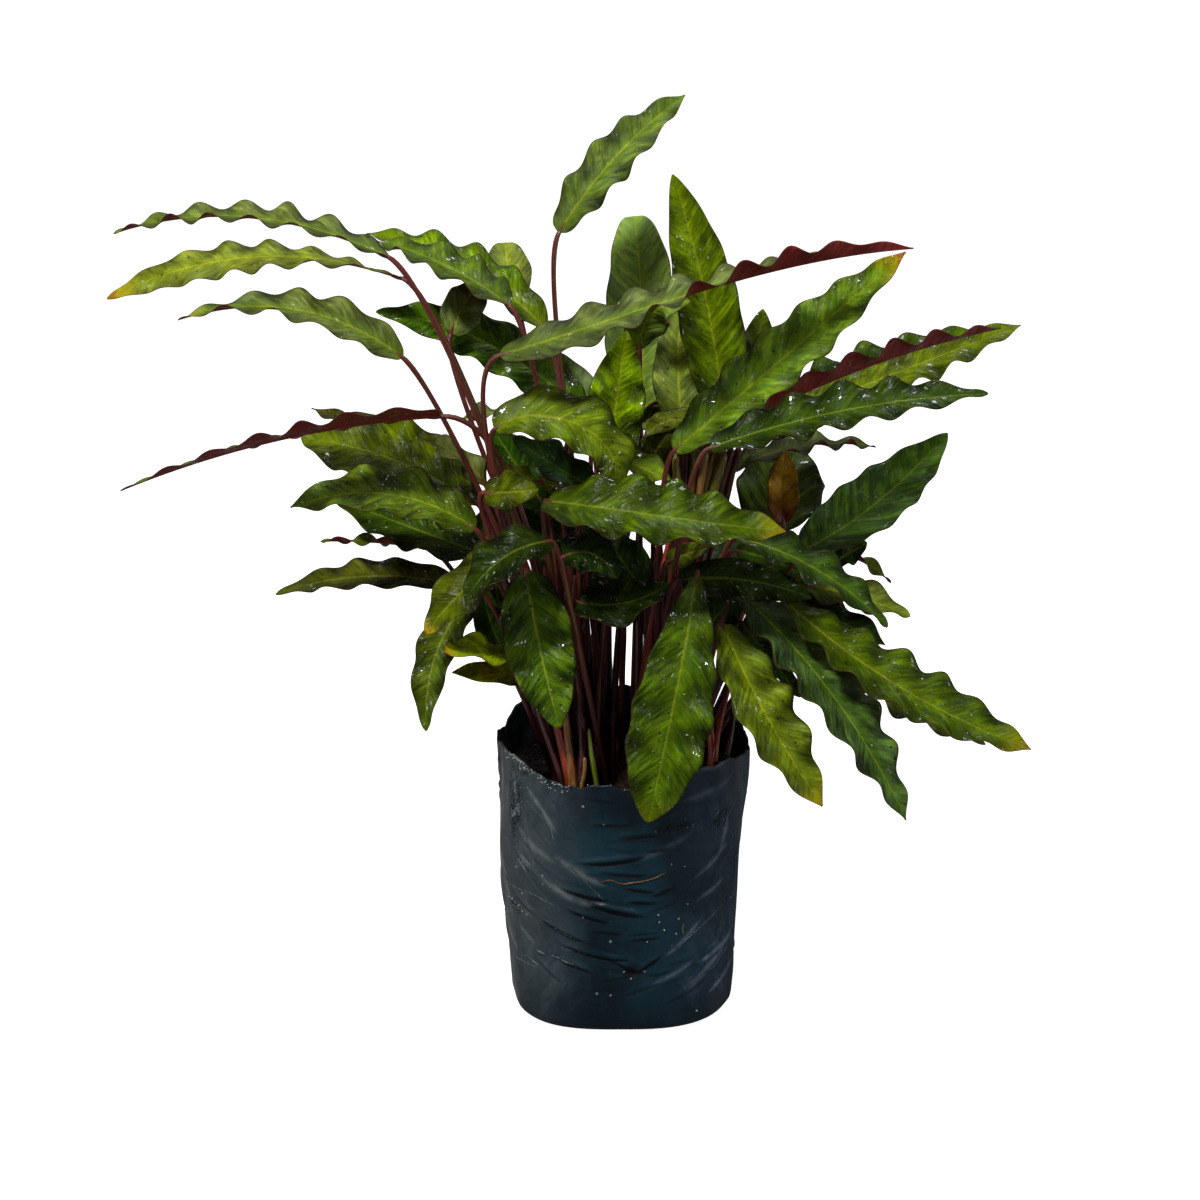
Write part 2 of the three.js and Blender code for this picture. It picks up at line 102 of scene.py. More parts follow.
# Leaf blades
HALF_WAVE = 17
WAVE_HEIGHT = 4.2
NECK_HALF_WIDTH = 2.2
TIP_HALF_WIDTH = 0.7
MARGIN_LIFT = 12
WIDEST_AT = 0.42
TIP_POINT = 0.2
BLADE_STEP = 1.7
BLADE_HALF_COLUMNS = 12
BLADE_HALF_THICKNESS = 0.28
COLUMN_BUNCHING = 1.45
VEIN_SLANT = 0.85
VEIN_CURL = 0.007
PLEAT_LENGTH = 7.3
PLEAT_HEIGHT = 0.26
QUILT_HEIGHT = 0.5
GROOVE_DEPTH = 0.4

# Lightness, warmth, greying, wetness, burnt tip and spots, where a leaf's row ends before them. Lightness is
# partly the leaf's own tone and partly painted light and shade, for how lit each leaf is; greying is a
# painted grey sheen.
PLAIN_LOOK = [0.8, 1, 0, 0, 0, 0.2]
# The low lightness of the shaded look is painted shade.
SHADED_LOOK = [0.35, 1, 0, 0, 0, 0.2]


def table(text):
    """The rows of a table in text, each a list of fields, and each field a list of words and numbers.

    Commas part the fields. A row with a comma at its end goes on in the next line, and a line that
    starts with # is a heading.
    """
    rows = []
    for line in text.replace(",\n", ", ").strip().splitlines():
        if not line.startswith("#"):
            rows.append([[read_word(word) for word in field.split()] for field in line.split(",")])
    return rows


def read_word(word):
    return word if word[0].isalpha() else float(word)


def marks_of(text):
    """All fields of a table as one list of marks."""
    return [field for row in table(text) for field in row]


def leaves_of(text, look):
    """The leaves of a table. A row gives the tone, width and look, the direction that the upper face
    turns to, the points of the rib, and by name what else is special about the leaf."""
    leaves = []
    for (tone, width, *own_look), face, *fields in table(text):
        own_look += look[len(own_look):]
        leaf = {"tone": tone, "width": width, "look": own_look, "face": face, "rib": []}
        for field in fields:
            if isinstance(field[0], float):
                leaf["rib"].append(field)
            else:
                leaf[field[0]] = field[1:] if len(field) > 2 else field[1]
        leaves.append(leaf)
    return leaves


LEAVES = leaves_of("""
# Long leaves at the upper left
green 42 .65 1.45 .5, 0 -.1 1, -175 -15 592, -284 0 619, -383 20 603
lime 46 .7 1.3 .3 0 .6, 0 .4 1, -169 45 564, -284 85 573, -408 115 534,
tip_face -.1 -1.1 1, lift 0, calm .7
green 42 .65 1.45 .5 0 .3, 0 -.7 1, -164 -45 523, -238 -50 559, -326 -55 553, tip_face 0 .1 1, calm .85
green 44 .5 1.2 .15, 0 -.15 1, -87 0 553, -140 40 577, -190 80 586
lime 46 .55 .9, 0 -.2 1, -62 35 528, -125 80 569, -202 120 585
lime 35 .65 1.25 .4, 0 -.7 1, -84 90 538, -91 115 560, -94 140 574, calm 0, point -.1
olive 34 2.2 1 .35, .3 -1 .3, -133 40 522, -124 55 539, -112 75 555
dark 44 1.35 1.25 0 .3, .25 -.8 .6, -30 55 452, -103 68 507, -192 70 533
# Upright leaves in the middle
lime 46 .65 .9 0 .3, 0 -1 .15, -11 38 417, -6 32 472, 2 26 527
green 38 .6 1.3 .35, -.35 -.8 .4, -49 20 604, -9 45 654, 46 80 698
green 58 2.2 1.2 .45, 0 -1 .1, 14 75 437, 14 85 522, 11 98 578, 8 118 599,
tip_face 0 -1 .7, calm 0, point -.12
lime 50 .45 .95 0 .3 0 .3, .1 -1 .2, 77 35 455, 63 35 545, 36 40 644, calm .4
green 40 1.35 1.45 .4, 0 -1 .1, 46 55 442, 42 60 493, 46 65 545
olive 36 .7 .7, 0 -1 .2, 95 65 448, 102 70 491, 108 75 534
dark 32 .9 1.45 .6, .2 -1 .2, -18 64 432, -34 80 465, -52 95 495
green 34 .9 1.3 .3, .3 -.8 .3, 12 45 509, 19 32 538, 49 8 554, foot 14 30
# Long leaves at the upper right
green 44 .65 1.45 .6 .25, 0 -.9 1, -91 -65 529, 0 -70 560, 100 -82 593, 204 -90 612,
tip_face 0 .8 1, lift -6, tip_lift 40, foot -50 -20, bend .12
green 48 1.1 1.15 .12 .8 .9 .3, -.4 -.75 .5, 37 -40 451, 119 -42 524, 203 -50 602
green 42 .4 1.1, 0 .14 1, 65 -25 455, 166 -15 503, 283 5 534, lift 37
lime 56 .35 1.1 0 .3, 0 -.5 1, 82 25 442, 195 60 480, 311 90 518
dark 46 .4 1.45 0 .6, 0 -.5 1, 62 -72 461, 160 -78 491, 263 -80 504
olive 34 .55 1.1 .5, 0 -.1 1, 80 35 414, 138 75 424, 203 115 413
dark 70 .9 1.45 .2, 0 -.75 .65, 117 25 368, 124 65 391, 142 110 414, calm .35
dark 58 1.5 1.15 .1 .9 0 .3, -.35 -.65 .65, 139 0 361, 195 45 384, 257 90 431, calm .3
# Leaves that hang at the right
green 40 .25 .9 .15 .5, .4 -.4 .8, 85 -40 383, 142 -60 365, 197 -70 322
lime 38 .45 1.2 .4, .2 -.45 .9, 128 -10 338, 175 -20 331, 219 -25 316
lime 56 .3 .9 0 .6 .25 .5, .35 -.5 .8, 118 -57 341, 208 -104 284, 299 -130 247, widest .52, bend .45
dark 60 .8 1.25 .25 .7 0 .35, .45 -.5 .75, 87 -42 340, 153 -94 279, 209 -128 190
lime 50 .5 1.1 .12 .25 .35 .45, .4 -.75 .55, 73 -70 324, 101 -110 273, 146 -135 204, widest .46
green 62 .45 1.1 0 1 .12 .9, .05 -.95 .3, 54 -75 365, 38 -113 288, 17 -130 189, widest .6, foot 16 -50
# Leaves that hang at the left
dark 54 1 1.45 0 1 0 .8, 0 -.97 .25, -74 -55 360, -64 -75 310, -49 -85 247
lime 40 .25 1.2 0 0 .8, -.35 -.75 .6, -87 -60 375, -119 -80 355, -148 -90 323
green 32 .35 1.4 .1 .5 0 .4, -.3 -.9 .3, -113 -35 340, -141 -60 301, -150 -75 241
lime 36 1.35 1.1 0 0 .7, 0 -.4 1, -64 -44 284, -100 -66 299, -134 -92 310, widest .6
lime 24 1.3 1.2, 0 -.6 1, -72 -35 269, -104 -44 276, -131 -50 279, calm .3
olive 36 .35 1.15 0 .3 0 .5, 0 -.42 1, -129 0 333, -203 25 332, -275 45 311, calm .55
# Spreading leaves at the left
dark 54 .45 1.45 0 .9 0 .8, 0 -.5 1, -110 -5 360, -165 15 375, -225 35 393
green 52 .6 1.3 .1 .9 0 .5, -.1 -.5 1, -112 -47 392, -172 -50 419, -249 -55 411
lime 76 .35 1.1 0 .4 0 .7, 0 -.6 1, -113 20 392, -175 50 418, -254 75 431, widest .55
olive 44 .8 1.4, .4 -.2 .9, -116 55 392, -178 100 416, -252 140 439
green 38 .55 1.1, -.15 .55 1, -136 -60 482, -252 -95 473, -363 -120 442,
tip_face 0 .3 1, calm .6, widest .32, bend .2
olive 26 .7 1.2 .5, .3 -.4 .9, -106 0 413, -124 0 434, -151 0 449
olive 20 1.2 1.1 .6, 0 -.4 1, -72 52 447, -101 48 458, -127 44 453
# Leaves that arch over the middle
lime 46 .55 1.05 .1 .6 0 .4, 0 -.6 .8, -96 -58 472, -52 -58 481, -15 -56 459, -16 -50 410,
tip_face .7 -.7 .1
lime 40 .55 .95 .15, .2 -.4 .9, -38 -2 450, 1 -18 437, 36 -32 424
dark 36 .5 .8 .4, .1 -.6 .8, -18 -10 410, -49 -25 433, -84 -35 460
lime 30 .25 1.15, 0 -.8 .5, -104 -60 424, -85 -66 426, -64 -70 429
green 60 .35 1.2 0 .4 .3, 0 -.65 1, -58 -62 418, -4 -98 421, 54 -110 416, 116 -115 410
dark 42 .2 1.45, -.2 -.6 .8, -56 -76 391, -89 -98 385, -117 -106 355
dark 38 .15 1 0 .5, 0 -.7 .8, -46 -80 380, -27 -88 386, -6 -92 367, foot -12 -42, bend .02
dark 46 .15 1.45 0 .4, 0 -.6 .9, -36 -63 340, -6 -76 342, 33 -80 359
dark 32 .2 1.45 0 .5, 0 -1 .3, 40 -57 355, 87 -62 357, 140 -68 344
# Leaves at the back
green 56, 0 .2 1, -85 105 305, -135 155 325, -190 200 305
dark 58 1, .2 0 1, -15 100 325, -20 190 345, -25 290 315
green 56 .2 .8, .1 .2 1, 65 100 310, 110 160 320, 155 230 290
green 46, 0 -.5 1, 62 75 455, 70 135 510, 72 205 520
dark 54, 0 .3 1, 40 105 290, 75 175 290, 100 245 245
""", PLAIN_LOOK)
# Narrow young leaves that belong to the crown's node.
YOUNG_LEAVES = leaves_of("""
amber 28, .2 -1 0, 121 -20 389, 119 -15 413, 122 -10 443, lift 25
olive 14, 0 0 1, 130 35 346, 178 40 344, 211 40 322
olive 30, .3 -.2 .9, 136 -10 304, 195 -50 261, 273 -80 232
olive 16, 0 .2 1, -151 25 355, -198 30 359, -237 35 358
olive 18, 0 -.3 1, -44 -15 417, -64 -25 422, -88 -30 439
olive 20, 0 -.8 .6, 59 40 446, 37 30 457, 15 20 445
olive 18, 0 -1 .3, 33 -30 361, 48 -40 371, 62 -50 378
olive 9, 0 -.2 1, -18 75 444, 13 75 455, 43 70 463
""", PLAIN_LOOK)
# Small leaves deep among the stalks, made dark by a low lightness that paints the shade they stand in; the
# last turns its dark underside forward behind the bundle of sheaths, a dark backing that paints the shade
# there.
INNER_LEAVES = leaves_of("""
dark 42, 0 -.9 .4, -61 0 397, -80 8 423, -100 15 453
dark 36, 0 -1 .2, -51 10 346, -64 15 381, -75 20 416
dark 38, 0 -1 .3, 14 -20 334, -2 -25 361, -20 -30 388
dark 34, 0 -1 .3, 58 -25 297, 74 -35 324, 93 -45 345
dark 26, 0 -1 .3, -93 -15 281, -103 -22 312, -109 -30 342
olive 30, 0 -1 .4, 22 30 411, 25 25 434, 40 25 452
dark 34, 0 -.6 1, 124 -10 331, 162 -15 311, 201 -20 291
dark 38, 0 -.9 .6, -50 20 315, -18 30 336, 21 35 343
dark 32, 0 -1 .2, 29 30 278, 21 30 311, 13 30 344
dark 24, 0 -1 .2, -93 5 306, -98 5 321, -99 5 339
dark 20, 0 -1 .2, -58 20 318, -61 20 336, -63 20 354
dark 24, 0 -.8 .6, 86 0 361, 113 5 352, 144 10 334
dark 24, .3 -.8 .4, 90 -22 310, 109 -40 291, 134 -58 262
dark 20, 0 -1 .3, -55 10 369, -40 10 373, -24 10 378
dark 18, 0 -.8 .6, 162 18 345, 176 25 351, 190 32 358
dark 34, 0 -1 .3, -118 25 352, -100 25 372, -78 25 392
dark 54, 0 1 .1, 53 26 384, 56 26 420, 59 26 458
""", SHADED_LOOK)
# Sheaths that wrap the stalks low down, and the bundle high up in the middle: the tone with the radius
# at the upper and lower end, and the points from the upper end down.
SHEATHS = table("""
red 3.8 5.2, -64 -34 272, -52 -52 240, -44 -62 212, -39 -68 186
amber 3.2 5, -49 -40 290, -44 -58 239, -41 -66 212, -38 -70 184
plum 3.6 5.4, -37 -34 300, -33 -54 242, -32 -64 213, -34 -69 186
plum 2.6 4, -76 -24 272, -61 -46 232, -49 -60 199, -45 -62 180
amber 1.7 2.3, -30 -73 219, -30 -75 209, -33 -76 193
lime 1.5 2.8, -27 -62 238, -25 -66 219, -20 -68 188
red 3.2 4.2, 63 -36 282, 66 -52 237, 68 -58 212, 66 -58 184
red 2.6 3.8, 84 -30 275, 72 -50 234, 69 -60 214, 68 -58 184
plum 2.6 3.6, 86 -24 262, 83 -40 229, 80 -45 216, 76 -46 184
plum 2.4 4.4, 4 10 380, -5 -8 292, -9 -20 213, -9 -24 182
plum 2.4 4.4, 26 4 370, 19 -10 292, 10 -20 213, 8 -24 182
red 2.6 4.4, 38 -12 390, 21 -30 315, 12 -35 251, 6 -38 182
plum 2.4 4.2, -12 -14 340, -20 -40 261, -22 -50 216, -22 -52 182
olive 3.8 4, 38 -30 446, 40 -28 422, 43 -24 390
plum 4 4, 47 -22 449, 46 -20 421, 47 -18 390
olive 4.4 4.2, 54 -28 449, 51 -24 420, 50 -20 390
amber 3.4 3.4, 61 -32 449, 57 -30 422, 55 -26 390
olive 4 3.8, 67 -24 449, 62 -22 421, 58 -18 390
olive 4.4 4.2, 75 -30 448, 68 -26 420, 63 -22 390
plum 3.8 3.8, 81 -22 449, 74 -20 422, 68 -18 390
plum 4 4.2, 87 -14 447, 80 -14 422, 73 -16 390
""")
# Tips of the young leaves that are still rolled up.
ROLLED_LEAF_TIPS = marks_of("""
40 10 441, 51 18 439, 60 15 441, 72 25 439, 81 20 439, 19 20 335, -1 20 322, 13 30 370, 28 20 373
86 0 349, -50 40 361, -75 20 367, -22 40 311, 45 40 438, 68 45 439, -30 10 305, -38 -10 344
""")


# Curves and sections


def unit(vectors):
    return vectors / np.linalg.norm(vectors, axis=-1, keepdims=True)


def ease(value, low, high):
    share = np.clip((value - low) / (high - low), 0, 1)
    return share * share * (3 - 2 * share)


def curve_through(points):
    """A smooth curve through a leaf's rib points, as in the part's source: two functions that give
    its places and its directions, and its rough length."""
    points = np.array(points, float)
    steps = np.linalg.norm(np.diff(points, axis=0), axis=1)
    knots = np.concatenate([[0], np.cumsum(steps)]) / steps.sum()

    def at(t):
        place = np.zeros((len(t), 3))
        for i, point in enumerate(points):
            weight = np.ones(len(t))
            for j, knot in enumerate(knots):
                if j != i:
                    weight = weight * (t - knot) / (knots[i] - knot)
            place += weight[:, None] * point
        return place

    def along(t):
        return unit(at(t + 0.01) - at(t - 0.01))

    return at, along, steps.sum()


def half_width(t, leaf):
    skew = math.log(0.5) / math.log(leaf.get("widest", WIDEST_AT))
    outline = np.sin(np.pi * np.clip(t, 0, 1) ** skew).clip(0, 1) ** (0.5 + leaf.get("point", TIP_POINT) * t)
    least = NECK_HALF_WIDTH + (TIP_HALF_WIDTH - NECK_HALF_WIDTH) * t
    return np.maximum(least, leaf["width"] / 2 * outline)


def slow_noise(t, seed, turns):
    """A slow, smooth, seeded wander between about -1 and 1."""
    draw = np.random.default_rng(seed)
    total = np.zeros_like(t)
    for k in range(1, 4):
        total += np.sin(2 * np.pi * (turns * k * 0.6 * t + draw.random())) / k
    return total / 1.6


def smooth_line(marks, steps, rounds):
    """The line through some marks in even steps, with its bends rounded off."""
    marks = np.array(marks, float)
    t = np.linspace(0, len(marks) - 1, steps)
    line = together(*[np.interp(t, np.arange(len(marks)), column) for column in marks.T])
    for _ in range(rounds):
        line[1:-1] = (line[:-2] + 2 * line[1:-1] + line[2:]) / 4
    return line


def together(*values):
    """Several coordinates, or several corners, side by side."""
    return np.stack(np.broadcast_arrays(*values), axis=-1)


def full_turn(sides, start=0.0):
    return start + np.linspace(0, 2 * np.pi, sides, endpoint=False)


# Meshes. Points, quads and point attributes go together as the arrays of a shape.


def grid_faces(rows, columns, start=0, flip=False):
    """Quads of a grid of points stored row by row."""
    a = start + np.arange(rows - 1)[:, None] * columns + np.arange(columns - 1)
    quads = together(a, a + 1, a + columns + 1, a + columns).reshape(-1, 4)
    return quads[:, ::-1] if flip else quads


def closed_rings(rings, first, last, flip=False):
    """Points and quads of a stack of rings that is closed to a middle point at either end. A triangle
    is a quad with one corner twice."""
    rows, sides = rings.shape[:2]
    a = np.arange((rows - 1) * sides).reshape(-1, sides)
    b = np.roll(a, -1, axis=1)
    walls = together(a, b, b + sides, a + sides).reshape(-1, 4)
    step = 1 if sides % 2 else 2
    near = np.arange(0, sides, step)
    middle = (near + 1) % sides
    after = (near + step) % sides
    end = rows * sides
    top = end - sides
    low_cap = together(end, after, middle, near)
    high_cap = together(end + 1, top + near, top + middle, top + after)
    quads = np.concatenate([walls, low_cap, high_cap])
    points = np.concatenate([rings.reshape(-1, 3), [first], [last]])
    return points, quads[:, [0, 3, 2, 1]] if flip else quads


def join(parts):
    """Several shapes' arrays as one."""
    starts = np.cumsum([0] + [len(part[0]) for part in parts])
    points = np.concatenate([part[0] for part in parts])
    quads = np.concatenate([part[1] + start for part, start in zip(parts, starts)])
    attributes = {key: np.concatenate([part[2][key] for part in parts]) for key in parts[0][2]}
    return points, quads, attributes


def new_object(name, data):
    """A new object in the scene, at the origin."""
    made = bpy.data.objects.new(name, data)
    bpy.context.scene.collection.objects.link(made)
    return made


def new_mesh(name, points, quads, attributes):
    """A smooth mesh from points in millimetres, with its point attributes."""
    mesh = bpy.data.meshes.new(name)
    faces = [list(dict.fromkeys(quad)) for quad in np.asarray(quads).tolist()]
    mesh.from_pydata((np.asarray(points) * MM).tolist(), [], faces)
    for key, values in attributes.items():
        kind, field = ("FLOAT", "value") if values.ndim == 1 else ("FLOAT_VECTOR", "vector")
        layer = mesh.attributes.new(key, kind, "POINT")
        layer.data.foreach_set(field, np.asarray(values, np.float32).ravel())
    mesh.shade_smooth()
    mesh.update()
    return mesh


def settle(piece, slot, *nodes):
    """Rides the piece on the plant, and hides the imported parts that it stands for. Its slot is not used.
    """
    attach(piece, "root")
    if nodes:
        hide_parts(*nodes)


def make_piece(name, arrays, material, slot, *nodes):
    piece = new_object(name, new_mesh(name, *arrays))
    piece.data.materials.append(material)
    settle(piece, slot, *nodes)


# Leaf blades


def blade_frame(leaf, t):
    """Places along the rib, the directions along it, across it and out of the upper face, and the
    rib's length."""
    at, along_at, total = curve_through(leaf["rib"])
    along = along_at(t)
    neck_face = np.array(leaf["face"], float)
    tip_face = np.array(leaf.get("tip_face", leaf["face"]), float)
    face = neck_face + (tip_face - neck_face) * t[:, None]
    side = unit(np.cross(along, face))
    return at(t), along, side, np.cross(side, along), total


def waved_margins(leaf, seed, t, u, total, swell):
    """How far each point of a blade reaches sideways and rises, and how near it is to a wave's crest."""
    gaps = max(4, math.floor(total / HALF_WAVE + 0.5))
    neck_lift = leaf.get("lift", MARGIN_LIFT)
    lift = np.radians(neck_lift + (leaf.get("tip_lift", neck_lift) - neck_lift) * t)
    half = half_width(t, leaf)
    reach, rise, crest = np.zeros((3, len(t), len(u)))
    for way in (-1, 1):
        columns = u * way >= 0
        share = np.abs(u[columns])
        turn = np.pi * gaps * t + 0.55 * slow_noise(t, seed * 2 + way, 1.5) * swell
        height = leaf.get("calm", 1) * WAVE_HEIGHT * (1.12 + 0.4 * slow_noise(t, seed * 3 + way, 2))
        wave = -np.cos(turn) * height * swell
        scallop = 1 + 0.035 * np.cos(turn + 0.9 * way) * swell
        edge = half * scallop
        reach[:, columns] = way * share * (edge * np.cos(lift))[:, None]
        bowl = (half * np.sin(lift))[:, None] * share ** 1.15
        rise[:, columns] = bowl + way * wave[:, None] * share ** 1.6
        crest[:, columns] = way * wave[:, None] * share / WAVE_HEIGHT
    return reach, rise, np.clip(crest, -1, 1)


def blade_points(leaf, seed):
    """Both faces of one waved blade, with where each point lies on it."""
    total = curve_through(leaf["rib"])[2]
    rows = int(np.clip(total / BLADE_STEP, 36, 190)) + 1
    t = np.linspace(0, 1, rows)
    middle, _, side, up, total = blade_frame(leaf, t)
    spread = np.linspace(-1, 1, 2 * BLADE_HALF_COLUMNS + 1)
    u = np.sign(spread) * np.abs(spread) ** COLUMN_BUNCHING
    swell = np.sqrt(np.sin(np.pi * t).clip(0, 1))
    reach, rise, crest = waved_margins(leaf, seed, t, u, total, swell)
    along = (t * total)[:, None] + 0 * reach
    pleat = along - VEIN_SLANT * np.abs(reach) - VEIN_CURL * reach ** 2
    fade = (1 - np.abs(u) ** 3) * swell[:, None] * ease(np.abs(u), 0.02, 0.25)
    wander = slow_noise(pleat / 60, seed + 11, 1)
    rise += PLEAT_HEIGHT * np.sin(pleat * 2 * np.pi / PLEAT_LENGTH + 2.2 * wander) * fade
    rise += QUILT_HEIGHT * np.sin(along / 9 + seed) * np.sin(reach / 7 + seed * 1.7) * fade
    surface = middle[:, None, :] + side[:, None, :] * reach[..., None] + up[:, None, :] * rise[..., None]
    groove = GROOVE_DEPTH * np.exp(-(reach / 0.9) ** 2) * (1 - 0.6 * t)[:, None]
    ridge = np.exp(-(reach / 1.2) ** 2) * (1 - 0.75 * t)[:, None]
    thin = BLADE_HALF_THICKNESS * (1 - 0.35 * np.abs(u) ** 4)
    top = surface + up[:, None, :] * (thin - groove)[..., None]
    under = surface - up[:, None, :] * (thin + ridge)[..., None]
    place = together(reach, along, seed * 3.7)
    share = together(u, t[:, None], 1.0)
    return top, under, place, share, crest


def blade_arrays(leaf, seed):
    """One blade as a closed shell."""
    top, under, place, share, crest = blade_points(leaf, seed)
    rows, columns = crest.shape
    count = rows * columns
    quads = [grid_faces(rows, columns), grid_faces(rows, columns, count, flip=True)]
    index = np.arange(count).reshape(rows, columns)
    for border in (index[::-1, 0], index[:, -1], index[0, :], index[-1, ::-1]):
        a = border[:-1]
        b = border[1:]
        quads.append(together(a, a + count, b + count, b))
    light, warm, sheen_grey, _, burnt, spots = leaf["look"]
    tip = together(burnt, sheen_grey, crest)
    faces = {
        "blade_place": (place, place),
        "blade_share": (share, share * [1, 1, 0]),
        "blade_look": (0 * place + [light, warm, spots],) * 2,
        "blade_tip": (tip, tip),
    }
    attributes = {key: np.concatenate(pair).reshape(-1, 3) for key, pair in faces.items()}
    return np.concatenate([top, under]).reshape(-1, 3), np.concatenate(quads), attributes


# Leaf stalks


def stalk_foot(neck):
    highness = ease(neck[2], LOW_NECK, HIGH_NECK)
    reach = CROWN_RADIUS * (OUTER_REACH + (INNER_REACH - OUTER_REACH) * highness)
    away = np.array([neck[0], neck[1], 0.0])
    away *= min(reach, np.linalg.norm(away)) / np.linalg.norm(away)
    return away + [0, 0, SOIL_LEVEL - STALK_SUNK]


def stalk_path(leaf):
    at, along_at, _ = curve_through(leaf["rib"])
    start = np.zeros(1)
    along = along_at(start)[0]
    neck = at(start)[0]
    foot = stalk_foot(neck)
    if "foot" in leaf:
        foot = np.array([*leaf["foot"], SOIL_LEVEL - STALK_SUNK], float)
    rise = neck - foot
    lean = foot + rise * [STALK_LEAN, STALK_LEAN, STALK_RISE]
    turn = neck - along * leaf.get("bend", STALK_BEND) * np.linalg.norm(rise)
    t = np.linspace(0, 1, STALK_RINGS)[:, None]
    return foot * (1 - t) ** 3 + 3 * lean * t * (1 - t) ** 2 + 3 * turn * t * t * (1 - t) + neck * t ** 3


def tube_frames(path):
    """Two directions across a path, turned as little as possible from ring to ring."""
    tangent = unit(np.gradient(path, axis=0))
    across = np.zeros_like(path)
    guide = np.array([0.0, 1.0, 0.0])
    for k, way in enumerate(tangent):
        guide = guide - way * np.dot(guide, way)
        guide = guide / np.linalg.norm(guide)
        across[k] = guide
    return across, np.cross(tangent, across)


def tube_arrays(path, radius, flat, seed, sides=STALK_SIDES):
    """Closed tube of the given radii along a path; flat is how much wider than deep each ring is."""
    across, other = tube_frames(path)
    turn = full_turn(sides)
    ripple = 1 + 0.05 * np.cos(3 * turn + seed)
    wide = (radius * flat)[:, None] * np.cos(turn) * ripple
    deep = (radius / flat)[:, None] * np.sin(turn) * ripple
    rings = path[:, None, :] + across[:, None, :] * wide[..., None] + other[:, None, :] * deep[..., None]
    points, quads = closed_rings(rings, path[0], path[-1])
    place = np.zeros((len(points), 3))
    place[:-2, 0] = np.repeat(np.linspace(0, 1, len(path)), sides)
    place[:-2, 1] = np.tile(turn, len(path))
    place[-1, 0] = 1
    place[:, 2] = seed * 1.31
    return points, quads, {"stalk_place": place}


def stalk_arrays(leaf, seed):
    """One red stalk, flattened and sheathed near the soil and carried a little way under its blade."""
    total = curve_through(leaf["rib"])[2]
    middle, _, _, up, _ = blade_frame(leaf, np.array([4, 9]) / total)
    path = np.concatenate([stalk_path(leaf), middle - up * 0.8])
    share = np.linspace(0, 1, len(path))
    radius = STALK_RADIUS - STALK_TAPER * share + STALK_FOOT_SWELL * np.exp(-share / 0.1)
    radius[-len(STALK_END):] *= STALK_END
    return tube_arrays(path, radius, 1.06 + 0.24 * np.exp(-share / 0.16), seed)


def rolled_leaf_arrays(tip, seed):
    """A young leaf still rolled round itself: a stalk that swells and draws out to a point."""
    foot = stalk_foot(tip)
    t = np.linspace(0, 1, STALK_RINGS)[:, None]
    rise = tip - foot
    bulge = rise * [-0.18, -0.18, 0]
    path = foot + rise * t + bulge * np.sin(np.pi * t)
    share = t[:, 0]
    swell = 1.5 * np.exp(-((share - 0.78) / 0.14) ** 2)
    radius = (3.4 - 1.0 * share + swell) * np.sqrt(1 - ease(share, 0.86, 1.04)) + 0.15
    return tube_arrays(path, radius, 1.15 + 0.2 * np.exp(-share / 0.2), seed)


def sheath_arrays(sheath, seed):
    """A sheath from its upper end down to the soil: flattened, and folded along its length."""
    (_, thin, thick), *marks = sheath
    path = smooth_line(marks[::-1], 30, 8)
    share = np.linspace(0, 1, len(path))
    radius = (thick + (thin - thick) * share) * (1 - ease(share, 0.93, 1.0) * 0.8)
    radius = radius * (1 + 0.06 * slow_noise(share, seed, 3))
    return tube_arrays(path, radius, 1.25 + 0.1 * np.cos(5 * share + seed), seed, sides=14)


# Material helpers


def colour(text):
    """A linear colour from a six-figure one as it looks on a screen."""
    parts = [int(text[i:i + 2], 16) / 255 for i in (0, 2, 4)]
    linear = [part / 12.92 if part <= 0.04045 else ((part + 0.055) / 1.055) ** 2.4 for part in parts]
    return (*linear, 1.0)


class Wire:
    """A value that a node puts out. Sums of wires add the nodes that work them out."""

    def __init__(self, maker, socket):
        self.maker = maker
        self.socket = socket

    def sum(self, kind, other=0.0):
        return self.maker.get("ShaderNodeMath", 0, {0: self, 1: other}, operation=kind)

    def __add__(self, other):
        return self.sum("ADD", other)

    def __sub__(self, other):
        return self.sum("SUBTRACT", other)

    def __mul__(self, other):
        return self.sum("MULTIPLY", other)

    def __truediv__(self, other):
        return self.sum("DIVIDE", other)

    def __abs__(self):
        return self.sum("ABSOLUTE")

    def ramp(self, low, high, first=0.0, last=1.0):
        inputs = {"Value": self, "From Min": low, "From Max": high, "To Min": first, "To Max": last}
        return self.maker.get("ShaderNodeMapRange", 0, inputs, interpolation_type="SMOOTHSTEP")

    def parts(self):
        node = self.maker.add("ShaderNodeSeparateXYZ", {0: self})
        return [Wire(self.maker, socket) for socket in node.outputs]


